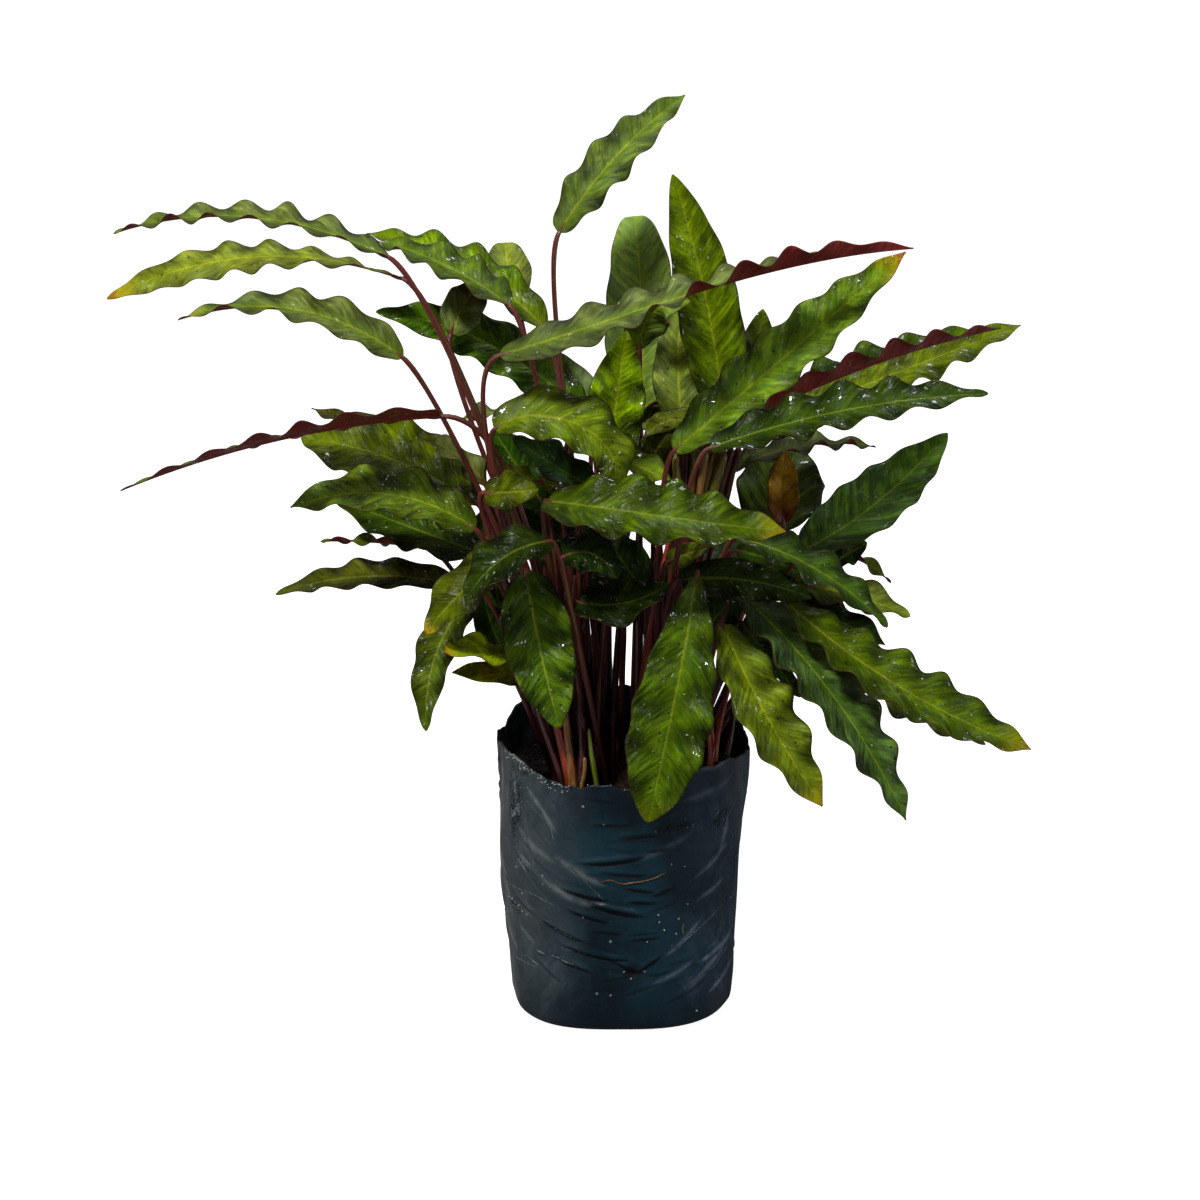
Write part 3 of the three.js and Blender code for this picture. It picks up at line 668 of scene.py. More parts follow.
class Maker:
    """Adds nodes to one tree. An input given as a wire is linked, and any other is set."""

    def __init__(self, tree):
        self.tree = tree

    def add(self, kind, inputs=None, **settings):
        node = self.tree.nodes.new(kind)
        for key, value in settings.items():
            setattr(node, key, value)
        for key, value in (inputs or {}).items():
            self.put(node.inputs[key], value)
        return node

    def get(self, kind, output=0, inputs=None, **settings):
        return Wire(self, self.add(kind, inputs, **settings).outputs[output])

    def put(self, socket, value):
        if isinstance(value, Wire):
            self.tree.links.new(value.socket, socket)
        elif isinstance(value, str) and socket.type == "RGBA":
            socket.default_value = colour(value)
        else:
            socket.default_value = value

    def mix(self, share, a, b, blend="MIX"):
        inputs = {0: share, 6: a, 7: b}
        return self.get("ShaderNodeMix", 2, inputs, data_type="RGBA", blend_type=blend)

    def coats(self, tint, *coats):
        """A colour with others laid over it in turn, each given with its share."""
        for share, coat in coats:
            tint = self.mix(share, tint, coat)
        return tint

    def vector(self, x, y, z):
        return self.get("ShaderNodeCombineXYZ", 0, {0: x, 1: y, 2: z})

    def split(self, name):
        return self.get("ShaderNodeAttribute", "Vector", attribute_name=name).parts()

    def noise(self, vector, scale, detail, roughness=0.5):
        inputs = {"Vector": vector, "Scale": scale, "Detail": detail, "Roughness": roughness}
        return self.get("ShaderNodeTexNoise", "Fac", inputs)

    def cells(self, vector, scale, channel):
        """Distance to the nearest of some scattered points, and a number drawn for that point."""
        node = self.add("ShaderNodeTexVoronoi", {"Vector": vector, "Scale": scale})
        drawn = self.get("ShaderNodeSeparateColor", channel, {0: Wire(self, node.outputs["Color"])})
        return Wire(self, node.outputs["Distance"]), drawn


def start_group(name, kind, sockets):
    """A node group with the given inputs, and the wires that come from them."""
    tree = bpy.data.node_groups.new(name, kind)
    for key, socket_kind in sockets.items():
        tree.interface.new_socket(key, in_out="INPUT", socket_type="NodeSocket" + socket_kind)
    maker = Maker(tree)
    source = maker.add("NodeGroupInput")
    return maker, {key: Wire(maker, source.outputs[key]) for key in sockets}


def end_group(maker, tint, **values):
    """Puts out a shader group's colour and values, each under the name of the socket it feeds."""
    outputs = {"Base Color": tint}
    maker.tree.interface.new_socket("Base Color", in_out="OUTPUT", socket_type="NodeSocketColor")
    for key, value in values.items():
        key = key.replace("_", " ")
        outputs[key] = value
        maker.tree.interface.new_socket(key, in_out="OUTPUT", socket_type="NodeSocketFloat")
    maker.add("NodeGroupOutput", outputs)
    return maker.tree


def new_material(name, **constants):
    """A material with one Principled shader, whose constant values are set on its own sockets."""
    material = bpy.data.materials.new(name)
    material.use_nodes = True
    tree = material.node_tree
    tree.nodes.clear()
    maker = Maker(tree)
    shader = maker.add("ShaderNodeBsdfPrincipled")
    for key, value in constants.items():
        shader.inputs[key.replace("_", " ")].default_value = value
    maker.add("ShaderNodeOutputMaterial", {"Surface": Wire(maker, shader.outputs[0])})
    return material, maker, shader


def group_materials(prefix, group, looks, distance, **constants):
    """A material for each look, whose values are the group's inputs in their order."""
    made = {}
    for name, values in looks.items():
        material, m, shader = new_material(prefix + name, **constants)
        node = m.add("ShaderNodeGroup", dict(enumerate(values)), node_tree=group)
        for socket in node.outputs:
            if socket.name == "Height":
                add_relief(m, shader, Wire(m, socket), distance)
            else:
                m.put(shader.inputs[socket.name], Wire(m, socket))
        made[name] = material
    return made


def add_relief(m, shader, height, distance):
    bump = m.get("ShaderNodeBump", 0, {"Height": height, "Distance": distance})
    m.put(shader.inputs["Normal"], bump)


# Materials


def blade_group():
    """Colour, gloss and relief of a leaf: midrib, feathered bands along the side veins, spots, wet specks
    painted as white highlights, a thin dark margin, a burnt tip and a maroon underside, with painted light
    and shade over the waves and a painted grey sheen."""
    sockets = {"Flesh": "Color", "Band": "Color", "Rib": "Color", "Under": "Color", "Banding": "Float",
               "Maroon Neck": "Float"}
    m, given = start_group("leaf_blade", "ShaderNodeTree", sockets)
    reach, along, seed = m.split("blade_place")
    across, share, upper = m.split("blade_share")
    light, warm, spotty = m.split("blade_look")
    burnt, sheen_grey, crest = m.split("blade_tip")
    away = abs(reach)
    edge = abs(across)
    hand = reach.sum("SIGN") * 5 + seed
    vein = along - away * VEIN_SLANT - away * away * VEIN_CURL

    def veined(long_scale, cross_scale, detail, roughness=0.5):
        """Noise that is drawn out along the side veins."""
        return m.noise(m.vector(vein * long_scale, away * cross_scale, hand), 1, detail, roughness)

    # The patterns that the colours and the relief share
    bands = veined(0.12, 0.04, 3)
    hair = veined(0.9, 0.05, 2)
    strand = veined(0.36, 0.05, 2)
    mottle = veined(0.16, 0.11, 4, 0.6)
    patch = m.noise(m.vector(reach * 0.07, along * 0.045, seed), 1, 3)
    near_rib = away.ramp(0.6, 11, 1, 0)
    # Dark bands
    band = (bands * 0.54 + strand * 0.24 + patch * 0.42).ramp(0.53, 0.7, 0, 0.85)
    band = band * given["Banding"] * (near_rib * -0.45 + 1)
    # Painted light and shade over the leaf, on its own lightness and mottled tone: lighter on the wave
    # crests, darker in the troughs, towards the neck and at the margins
    bright = light * mottle.ramp(0.33, 0.66, 0.7, 1.32) * patch.ramp(0.36, 0.64, 0.58, 1.44)
    bright = bright * (mottle * 0.4 + crest).ramp(-0.6, 1, 0.6, 1.46) * share.ramp(0, 0.35, 0.5, 1.08)
    bright = (bright * edge.ramp(0.5, 1, 1.06, 0.8)).sum("MINIMUM", 1.9)
    shading = m.get("ShaderNodeCombineColor", 0, {0: bright * warm, 1: bright, 2: bright})
    # The grey-green laid over by sheen_grey is a painted sheen; sheen_grey also makes the leaf rougher.
    banded = [(hair.ramp(0.45, 0.6, 0, 0.22), given["Band"]), (band, given["Band"]), (sheen_grey * 0.7, "5c745a")]
    flesh = m.mix(1, m.coats(given["Flesh"], *banded), shading, "MULTIPLY")
    # Midrib
    rib = (away / (share * -0.75 + 1.25)).ramp(0.5, 1.35, 1, 0) * share.ramp(0.75, 1, 0.8, 0.1)
    lit_rib = m.mix(0.45, m.mix(1, given["Rib"], shading, "MULTIPLY"), given["Rib"])
    # Dark spots, and a few yellow ones
    flat_place = m.vector(reach, along, seed)
    distance, drawn = m.cells(flat_place, 0.11, 0)
    dark = distance.ramp(0.06, 0.15, 0.85, 0) * drawn.sum("LESS_THAN", spotty * 0.9)
    distance, drawn = m.cells(flat_place, 0.021, 1)
    yellow = drawn.sum("LESS_THAN", spotty * 0.5 + -0.18)
    yellow = (hair * 0.05 + distance).ramp(0.06, 0.12, 0.8, 0) * yellow
    # Wet patches, and bright specks painted as white highlights where the wet film glints
    clump = m.noise(m.vector(reach * 0.05, along * 0.05, hand), 1, 1)
    wetness = clump * 0.35 + veined(0.22, 0.3, 3, 0.65)
    wet = wetness.ramp(0.75, 0.83) * sheen_grey.ramp(0.1, 0.4, 1, 0)
    # The upper face, then the maroon underside
    tip = strand * 0.06 + (edge * 0.02 + share)
    neck = (edge * 0.15 + share).ramp(0.12, 0.55, 0.9, 0) * given["Maroon Neck"]
    flesh = m.coats(
        flesh,
        (near_rib * light.ramp(0.15, 0.7, 0.1, 0.3), given["Flesh"]),
        (rib * 0.75, lit_rib),
        (dark, "0d1a0c"),
        (yellow, "c9a01a"),
        (tip.ramp(0.91, 1, 0, 0.8) * burnt.ramp(0, 0.6), "b09a10"),
        (tip.ramp(1, 1.02) * burnt, "9c4a18"),
        # Painted highlights: near-white specks where the wet film glints.
        (wetness.ramp(0.88, 0.9) * 0.6, "d4dec0"),
        (edge.ramp(0.95, 0.985) * 0.75, "3a2212"),
        (neck, "5a1a14"),
    )
    under = m.coats(given["Under"], (bands.ramp(0.35, 0.65, 0, 0.5), "6a3a2a"), (rib * 0.6, "8a4a38"))
    # Gloss and relief
    shine = (sheen_grey * 0.4 + (patch * 0.3 + 0.13) + wet * -0.2).sum("MAXIMUM", 0.07)
    height = strand * 0.4 + bands * 1.5 + patch * 1.5 + hair * 0.12 + wet * 0.25 + dark * -0.2
    return end_group(m, m.mix(upper, under, flesh), Roughness=shine, Height=height, Coat_Weight=wet)


def leaf_materials():
    """One leaf material for each of the tones the plant shows."""
    tones = {
        "lime": ("8ca604", "3e5c04", "b0b82c", "8a3030", 0.85, 0),
        "green": ("6c9206", "20440a", "9cae2c", "7e2a2a", 0.85, 0),
        "dark": ("48720c", "0e280a", "86a02c", "6c2226", 0.95, 0),
        "olive": ("6e7a14", "303e0c", "90943c", "7c2e2c", 0.85, 0),
        "amber": ("aa7e14", "6a4a0c", "a89424", "7a3028", 0.6, 1),
    }
    gloss = {"Coat_Roughness": 0.06, "Specular_IOR_Level": 0.1}
    return group_materials("leaf_", blade_group(), tones, 0.0018, **gloss)


def stalk_group():
    """Maroon skin with fine lengthwise streaks, olive green on some sides and towards some blades, and
    painted shade darkening the lower part of the stalks deep in the plant.
    """
    sockets = {"Skin": "Color", "Deep": "Color", "Green": "Color", "Shade": "Float"}
    m, given = start_group("leaf_stalk", "ShaderNodeTree", sockets)
    share, turn, seed = m.split("stalk_place")
    place = m.vector(turn.sum("COSINE"), turn.sum("SINE"), share * 0.9 + seed)
    streak = m.noise(place, 5, 3)
    tint = m.coats(
        given["Deep"],
        (streak.ramp(0.35, 0.65), given["Skin"]),
        (m.noise(place, 1.1, 1).ramp(0.55, 0.68, 0, 0.75), given["Green"]),
        (m.noise(place, 9, 2).ramp(0.62, 0.75, 0, 0.4), "9a5a40"),
        # Painted shade: darker low down where the stalks stand deep in the plant, by the Shade input.
        (share.ramp(0.08, 0.55, 1, 0) * given["Shade"], "120506"),
        (share.ramp(0, 0.06, 0.7, 0), "1c100a"),
    )
    return end_group(m, tint, Roughness=streak.ramp(0.3, 0.7, 0.22, 0.42), Height=streak)


def stalk_materials():
    """The skin of the stalks, and that of the sheaths of each colour."""
    # The last value of each is how much painted shade darkens the lower part of its stalks.
    tones = {
        "skin": ("803026", "381014", "5a5820", 0.7),
        "red": ("b0442c", "6a1c16", "9a6a26", 0),
        "amber": ("a8743c", "6a3a1e", "7a7a2a", 0),
        "plum": ("5c2424", "240c10", "4a3a1c", 0.7),
        "olive": ("8a7428", "3c3012", "6e7a24", 0),
        "lime": ("7c8a24", "4a5a14", "8a962c", 0),
    }
    return group_materials("stalk_", stalk_group(), tones, 0.0005, Specular_IOR_Level=0.5)


def ground_group():
    """Dark crumbly ground: mottled colour, dull, with two sizes of grain."""
    sockets = {"Dry": "Color", "Damp": "Color", "Grain": "Float"}
    m, given = start_group("crumbly_ground", "ShaderNodeTree", sockets)
    place = m.get("ShaderNodeTexCoord", "Object")
    coarse = m.noise(place, given["Grain"], 4, 0.65)
    wide = m.noise(place, 45, 2)
    tint = m.mix((wide * 0.5 + coarse * 0.6).ramp(0.45, 0.72), given["Damp"], given["Dry"])
    return end_group(m, tint, Roughness=wide.ramp(0.4, 0.6, 0.75, 0.95), Height=coarse)


def ground_materials():
    """Soil, crown, grit, fibre, and the pale of the film's welts and slit lips, a painted highlight: each
    dry and damp colour, and its grain.
    """
    kinds = {
        "dark_soil": ("33261c", "0d0907", 260),
        "crown_husk": ("4a2a1c", "140b08", 320),
        "pale_grit": ("e6e2d6", "b4ae9e", 500),
        "root_fibre_skin": ("a08058", "6e5034", 700),
        "film_edge": ("7c8688", "3a484c", 420),
    }
    return group_materials("", ground_group(), kinds, 0.002, Specular_IOR_Level=0.25)


def film_material():
    """Blue-black polythene: slightly cloudy, with fine stretch lines, dusty patches and small scuffs,
    painted sheen and highlights, and painted shade under its puckers, in its crinkles and round its holes.
    """
    material, m, shader = new_material("bag_film", Specular_IOR_Level=0.24)
    place = m.get("ShaderNodeTexCoord", "Object")
    x, _, z = place.parts()
    fold_shade, crinkle, hole_shade = m.split("film_marks")
    sheen, _, _ = m.split("film_sheen")
    cloud = m.noise(place, 14, 4, 0.6)
    tall = m.get("ShaderNodeMapping", 0, {"Vector": place, "Scale": (1, 1, 0.2)})
    line = m.noise(tall, 220, 3, 0.6)
    dust = m.noise(place, 60, 5, 0.7)
    dust_and_sheen = dust.ramp(0.3, 0.7, 0.5, 1)
    # Broad tints, partly dust and partly a painted sheen: greyer at the left, bluer at the right; darker at
    # the foot
    coats = [
        (cloud.ramp(0.36, 0.64), "12323e"),
        ((cloud * -0.03 + x).ramp(-0.09, -0.03, 0.9, 0) * dust_and_sheen, "464d50"),
        ((cloud * 0.03 + x).ramp(0.03, 0.1, 0, 0.8) * dust_and_sheen, "26384a"),
        (z.ramp(0, 0.06, 0.75, 0), "061824"),
        (line.ramp(0.55, 0.75, 0, 0.14), "1e3e4e"),
    ]
    # Painted sheen in slanting streaks at either side
    for turn, low, high, pale in ((0.85, -0.01, -0.07, "5a6468"), (-0.95, 0.02, 0.08, "4c5c72")):
        slant = m.get("ShaderNodeMapping", 0, {"Vector": place, "Rotation": (0, turn, 0)})
        slant = m.get("ShaderNodeMapping", 0, {"Vector": slant, "Scale": (0.16, 1, 1)})
        slant_sheen = m.noise(slant, 75, 3, 0.6).ramp(0.52, 0.72, 0, 0.4) * x.ramp(low, high)
        coats.append((slant_sheen * cloud.ramp(0.4, 0.6, 0.4, 1), pale))
    # Dust, painted highlight streaks, painted shade under the puckers and in the holes, fine crinkles with
    # painted shade in their lines and painted glints, and pale specks
    sheen = sheen * m.noise(place, 160, 3).ramp(0.3, 0.6, 0.45, 1)
    crumple = {"Vector": place, "Scale": 420}
    crumple = m.get("ShaderNodeTexVoronoi", "Distance", crumple, feature="DISTANCE_TO_EDGE")
    crumple = crumple.ramp(0, 0.16, 1, 0) * crinkle * line.ramp(0.4, 0.6)
    distance, drawn = m.cells(place, 190, 0)
    coats += [
        (dust.ramp(0.62, 0.8, 0, 0.18), "3c4648"),
        (sheen * 0.85, m.mix(x.ramp(-0.03, 0.03), "9aa09e", "8a98ac")),
        (fold_shade * 0.9, "030d14"),
        (hole_shade, "020406"),
        # Painted shade in the crinkles' lines, and painted glints on them.
        (crumple * 0.85, "010508"),
        (line.ramp(0.56, 0.62) * crinkle * dust.ramp(0.5, 0.56) * 0.7, "96a2a6"),
        (distance.ramp(0.12, 0.25, 0.8, 0) * drawn.sum("LESS_THAN", 0.035), "a9a59a"),
    ]
    m.put(shader.inputs["Base Color"], m.coats("05171f", *coats))
    rough = m.noise(place, 34, 3).ramp(0.35, 0.65, 0.2, 0.44)
    m.put(shader.inputs["Roughness"], rough.sum("MAXIMUM", hole_shade.sum("MAXIMUM", fold_shade) * 0.8))
    add_relief(m, shader, line * 0.25 + cloud * 2.2 + crumple * -1.6, 0.0012)
    return material


def water_material():
    """Water drops: clear and glossy; in patches their colour is a pale near-white, a painted highlight for
    glints too small to show.
    """
    material, m, shader = new_material("clear_water", Specular_IOR_Level=1.0, Roughness=0.04)
    cloud = m.noise(m.get("ShaderNodeTexCoord", "Object"), 420, 1)
    m.put(shader.inputs["Base Color"], m.mix(cloud, "283410", "dfe8cc"))
    m.put(shader.inputs["Alpha"], cloud.ramp(0.5, 0.62, 0.12, 0.75))
    return material


# Bag


def rim_height(degrees):
    """Height of the bag's rim at each angle, eased between the listed heights."""
    heights = np.full(np.shape(degrees), float(BAG_RIM_HEIGHT))
    for (start, low), (end, high) in zip(RIM_HEIGHTS, RIM_HEIGHTS[1:] + RIM_HEIGHTS[:1]):
        span = (end - start) % 360
        along = (degrees - start) % 360
        heights = np.where(along <= span, low + (high - low) * ease(along, 0, span), heights)
    return heights


def bag_radius(angle, z):
    rise = np.clip(z / BAG_RIM_HEIGHT, 0, 1)
    round_radius = BAG_BASE_RADIUS + (BAG_RIM_RADIUS - BAG_BASE_RADIUS) * rise
    power = BASE_SQUARENESS + (RIM_SQUARENESS - BASE_SQUARENESS) * rise
    corner = (np.abs(np.cos(angle)) ** power + np.abs(np.sin(angle)) ** power) ** (-1 / power)
    return round_radius * corner + BAG_DENT * np.sin(np.pi * rise) * np.cos(5 * angle + 2)


# Puckers of the film, with painted shade below each: degrees round, height, length, width, depth and slope
# in degrees.
PUCKERS = marks_of("""
-95 143 50 2.6 1.7 9, -95 173 30 2.2 .8 2, -83 164 34 2.4 .9 2, -74 152 22 1.8 .8 6
-108 114 38 2.6 1.7 -10, -93.5 102 42 3 1.9 -13, -107 97 32 2.4 1.6 -15, -83 120 24 1.9 1.1 -12
-71.5 117 20 1.9 1.2 14, -82 110 22 2 1.1 -8, -104 65 54 2.2 1.5 -10, -114 55 30 1.8 1.3 -18
-119 81 36 2.2 1.4 -18, -90 133 38 2.2 .9 -5, -98 85 26 1.8 .8 -6, -80 79 24 1.6 .7 4
-92 58 24 1.6 1.2 -28, -78 57 24 1.8 1.3 34
""")
# Plain creases, in the same form.
CREASES = marks_of("""
-74 48 24 1.4 .8 6, -95 46 22 1.4 .7 12, -84 40 20 1.4 .7 75, -46 120 70 3.2 1.2 62, -36 92 60 3 1.4 66
-42 60 52 2.6 1.3 48, -34 48 44 2.4 1.3 58, -50 44 40 2.4 1 36, -28 110 60 3 1.3 74, -58 30 40 2 .8 24
-152 160 60 3 1.5 -80, -140 150 60 3 1.2 -62, -146 96 44 2.8 1.2 -24, -136 120 40 2.4 1 -40
-128 46 30 2.2 1.2 -34, -150 62 40 2.4 1.1 -50, -70 190 36 2.4 .8 20, -100 192 30 2.2 .8 -8
-126 190 30 2.2 1 -50, -60 182 40 2.4 1 12
""")
# Patches of fine crinkles: degrees round, height, half width and half height.
CRINKLES = marks_of("""
-65.5 170 17 4, -41 167 12 9, -148 175 10 30, -143 205 16 6, -149 88 9 6, -121 203 16 5
""")
# Thin raised welts, coloured pale as a painted highlight, each through its points of degrees round and
# height.
WELTS = table("""
-124 142.6, -114 136.2, -105 121.9, -96 108.8
-154 103.9, -135 106.9, -119.5 101.5
-38.5 149.6, -47 134, -54.5 120.5
-42 91.1, -52 81, -64 69.9
-144 211, -150 190, -151 170.3, -146.5 163
-140 183.3, -125 165.8, -121.5 148.4
-161 39.1, -146 44, -132 46.4
-120.5 68.8, -112 67.3, -104 64.8
-31 100.7, -39 93, -48 83.7
-36 73.1, -36.5 62, -38 52.3
-33 57, -43 43.7, -52 40.4
""")
# Slits in the film whose lips are coloured pale as a painted glint, in the same form.
SLITS = table("""
-122.5 82.3, -117.5 80.3, -112 77.4
-143.5 50.7, -137.5 49.6, -132.5 47.8
-125.5 60.6, -119 58.6, -113.5 56.4
-134 60.4, -131 59.8, -128.5 59
-155 90, -151 91.4, -146 90.2
-152 86.4, -148 87.2, -144 88.8
""")
# Broad pale streaks painted on the film as highlights where it would catch the light, in the form of the
# puckers.
SHEENS = marks_of("""
-164.5 190 44 1.6 1 87, -147.2 182 39 1.4 .9 -83, -133.5 184 22 1.8 .5 -50, -126.5 171 23 1.8 .5 -51
-167.5 124 49 3 .7 -46, -156.8 99 18 2 .6 -52, -159 60 38 2.2 .6 -31, -140.5 70 20 1.6 .4 -26
-45.2 133 39 1.6 .6 31, -60.5 75 39 1.8 .45 39, -38.8 59 44 2.2 .7 19, -38.8 150 41 2.4 .6 77
-47.8 45 46 2.4 .6 31, -36.8 31 35 2 .7 26, -45.5 109 32 1.6 .5 19, -66.2 47 39 1.8 .4 24
-110.5 133 43 3 .35 -27, -117.2 114 48 3 .4 -20, -134.5 146 43 2.5 .35 -26, -71.2 153 51 2.5 .25 22
-45.5 212 39 2.5 .5 1, -48.5 192 47 2.5 .3 9
""")
# White grains stuck to the film; those at the puncture and along the rim stand in for glints as painted
# highlights: degrees round, height and radius.
GRAINS = marks_of("""
-59 103.2 .8, -68 139 .8, -61.5 135.4 .7, -74 98.9 .7, -73.5 93 .7, -71 85.9 .75, -65 81 .7, -79 77.1 .75
-53.5 12.3 .9, -154 91.5 1, -151 92.4 1.1, -148 87.2 .9, -145 90.8 .8, -142 88 .7, -139 87 .6
-113 205.6 .6, -109 206.5 .5, -106 206 .6, -96 206.3 .5, -83 206.8 .7, -90 52.6 .8, -86.5 46.4 .9
-90 203 .7, -60 206 .7
""")
# A root fibre and a short bit of one, in the form of the welts.
FIBRE = marks_of("""
-101 127.4, -96.5 130.2, -91 126.2, -86.5 127.7, -80.5 128.1, -75.5 129.8, -70 133.6
""")
FIBRE_BIT = marks_of("-61 87.5, -61.6 84, -61 78.5")
# A drain hole and a puncture, by degrees round and height. Both are dented, painted dark round them as
# shade, and plugged with soil.
DRAIN_HOLE = (-86, 51.5)
PUNCTURE = (-150, 89)


def drawn_creases():
    """Smaller creases over the whole film, drawn from a fixed seed. On the front they are pulled
    down towards the middle of the lower edge."""
    draw = np.random.default_rng(41)
    rows = []
    for _ in range(FRONT_CREASES):
        degrees = draw.uniform(-170, -10)
        height = draw.uniform(22, 165)
        slope = (degrees + 88) * 0.75 + draw.uniform(-14, 14)
        length = draw.uniform(14, 46)
        rows.append((degrees, height, length, draw.uniform(1.1, 2.4), draw.uniform(0.25, 0.7), slope))
    for _ in range(BACK_CREASES):
        slope = draw.choice([-1, 1]) * draw.uniform(0, 75)
        rows.append((draw.uniform(-12, 186), draw.uniform(25, 185), draw.uniform(30, 80),
                     draw.uniform(2.2, 4.2), draw.uniform(0.7, 1.6), slope))
    return rows


ALL_CREASES = PUCKERS + CREASES + drawn_creases()


def crease_place(angle, z, crease):
    """How far each point lies off one crease, in its widths, and how much the crease counts there."""
    degrees, height, length, width, _, slope = crease
    turn = (angle - math.radians(degrees) + np.pi) % (2 * np.pi) - np.pi
    x = turn * FILM_ARC
    y = z - height
    tilt = math.radians(slope)
    along = x * math.cos(tilt) + y * math.sin(tilt)
    off = y * math.cos(tilt) - x * math.sin(tilt) - 0.0025 * along ** 2
    taper = np.sqrt(np.clip(1 - (2 * along / length) ** 2, 0.02, 1))
    return off / (width * taper), np.exp(-(2 * along / length) ** 4)


def square_distance(angle, z, degrees, height, wide, tall):
    """Squared distance from a mark on the film, in the mark's own half widths and half heights."""
    return ((angle - math.radians(degrees)) * FILM_ARC / wide) ** 2 + ((z - height) / tall) ** 2


def crease_relief(angle, z):
    """How far the film stands out or in at each point, in millimetres."""
    relief = np.zeros(angle.shape)
    for crease in ALL_CREASES:
        off, share = crease_place(angle, z, crease)
        relief += crease[4] * share * np.exp(-((off - 1.1) / 0.95) ** 2)
        relief -= crease[4] * share * np.exp(-((off + 0.2) / 0.75) ** 2)
    for place, size, depth in ((DRAIN_HOLE, 5.5, 2.0), (PUNCTURE, 3.0, 1.4)):
        relief -= depth * np.exp(-square_distance(angle, z, *place, size, size))
    return relief


def film_marks(angle, z):
    """Masks for the film's finish: painted shade under the puckers, fine crinkles, and painted shade in and
    round the holes.
    """
    fold_shade, crinkle, hole_shade = np.zeros((3, *angle.shape))
    for crease in PUCKERS:
        off, share = crease_place(angle, z, crease)
        darkness = min(1, 0.45 + 0.5 * crease[4])
        fold_shade = np.maximum(fold_shade, share * darkness * np.exp(-(np.abs(off + 0.35) / 1.05) ** 2.5))
    for patch in CRINKLES:
        crinkle = np.maximum(crinkle, np.exp(-square_distance(angle, z, *patch) ** 2))
    for place, size in ((DRAIN_HOLE, 7.2), (PUNCTURE, 3.0)):
        hole_shade = np.maximum(hole_shade, np.exp(-square_distance(angle, z, *place, size, size) ** 2))
    return together(fold_shade, crinkle, hole_shade)


# Mask of the painted highlight streaks listed in SHEENS.
def film_sheen(angle, z):
    pale = np.zeros(angle.shape)
    for crease in SHEENS:
        off, share = crease_place(angle, z, crease)
        pale = np.maximum(pale, crease[4] * share * np.exp(-off ** 2))
    return together(pale, 0, 0)


def film_relief(angle, z):
    """Soft sags and vertical folds of the filled film, with its creases."""
    x = np.cos(angle) * FILM_ARC
    y = np.sin(angle) * FILM_ARC
    soft = np.sin(x / 19 + z / 31 + 1) * np.sin(y / 23 - z / 27) + 0.6 * np.sin(x / 9 + y / 13 + z / 17)
    high = ease(z, 120, 205)
    folds = np.sin(11 * angle + 2.5 * np.sin(z / 40)) + 0.6 * np.sin(23 * angle + z / 30)
    low = 1 - ease(z, 4, 26)
    tucks = np.abs(np.sin(9 * angle + 1)) * 1.2
    lean = -3.0 * np.cos(angle) * np.exp(-((z - 100) / 48) ** 2)
    return lean + 0.7 * soft + 0.7 * high * folds - low * tucks * ease(z, 0, 5) + crease_relief(angle, z)


def bag_ring(angle, inset, z, out=1.0):
    """One ring of the bag at the heights z, inset from its outside; out is the share of its relief."""
    depth = BAG_BASE_DEPTH + (1 - BAG_BASE_DEPTH) * z / BAG_RIM_HEIGHT
    corner = (angle + math.radians(138) + np.pi) % (2 * np.pi) - np.pi
    full = 3.5 * np.exp(-(corner / 0.45) ** 2) * np.exp(-z / 30)
    radius = bag_radius(angle, z) + full - inset + out * film_relief(angle, z) * ease(z, 0, 6)
    return together(radius * np.cos(angle), depth * radius * np.sin(angle), z)


def bag_arrays():
    """The film as one closed shell: outside from the middle of the base to the rim, and back inside."""
    angle = full_turn(FILM_SIDES, -np.pi)
    level = np.ones(FILM_SIDES)
    rim = rim_height(np.degrees(angle)) + 0.8 * np.sin(17 * angle) + 0.6 * np.sin(41 * angle + 1)
    rings = [(inset, 0 * level, 0.0) for inset in np.linspace(82, 8, 8)]
    for turn in np.linspace(0, np.pi / 2, 7):
        rings.append((BAG_CORNER * (1 - math.sin(turn)), BAG_CORNER * (1 - math.cos(turn)) * level, 1.0))
    for share in np.linspace(0, 1, FILM_ROWS)[1:]:
        rings.append((0.0, BAG_CORNER + (rim - BAG_CORNER) * share, 1.0))
    lining = [(inset + 2 * FILM_THICKNESS, z, out) for inset, z, out in rings[::-1][FINE_LINING]]
    lining += [(inset + 4, z, out) for inset, z, out in rings[::-1][COARSE_LINING]]
    stack = np.array([bag_ring(angle, *ring) for ring in rings + lining])
    points, quads = closed_rings(stack, (0, 0, 0), (0, 0, stack[-1, :, 2].mean()))
    attributes = {}
    for key, mask in (("film_marks", film_marks), ("film_sheen", film_sheen)):
        shown = np.concatenate([mask(angle, z) * out for _, z, out in rings])
        attributes[key] = np.concatenate([shown, np.zeros((len(points) - len(shown), 3))])
    return points, quads, attributes


# Soil and crown


def ripple(x, y, seed):
    """Lumpy relief of loose ground, from a fixed seed."""
    draw = np.random.default_rng(seed)
    total = np.zeros(x.shape)
    for size in LUMP_SIZES:
        for _ in range(3):
            way = draw.uniform(0, np.pi)
            across = x * math.cos(way) + y * math.sin(way)
            total += size * LUMP_STEEPNESS * np.sin(2 * np.pi * across / size + draw.uniform(0, 6.28))
    return total


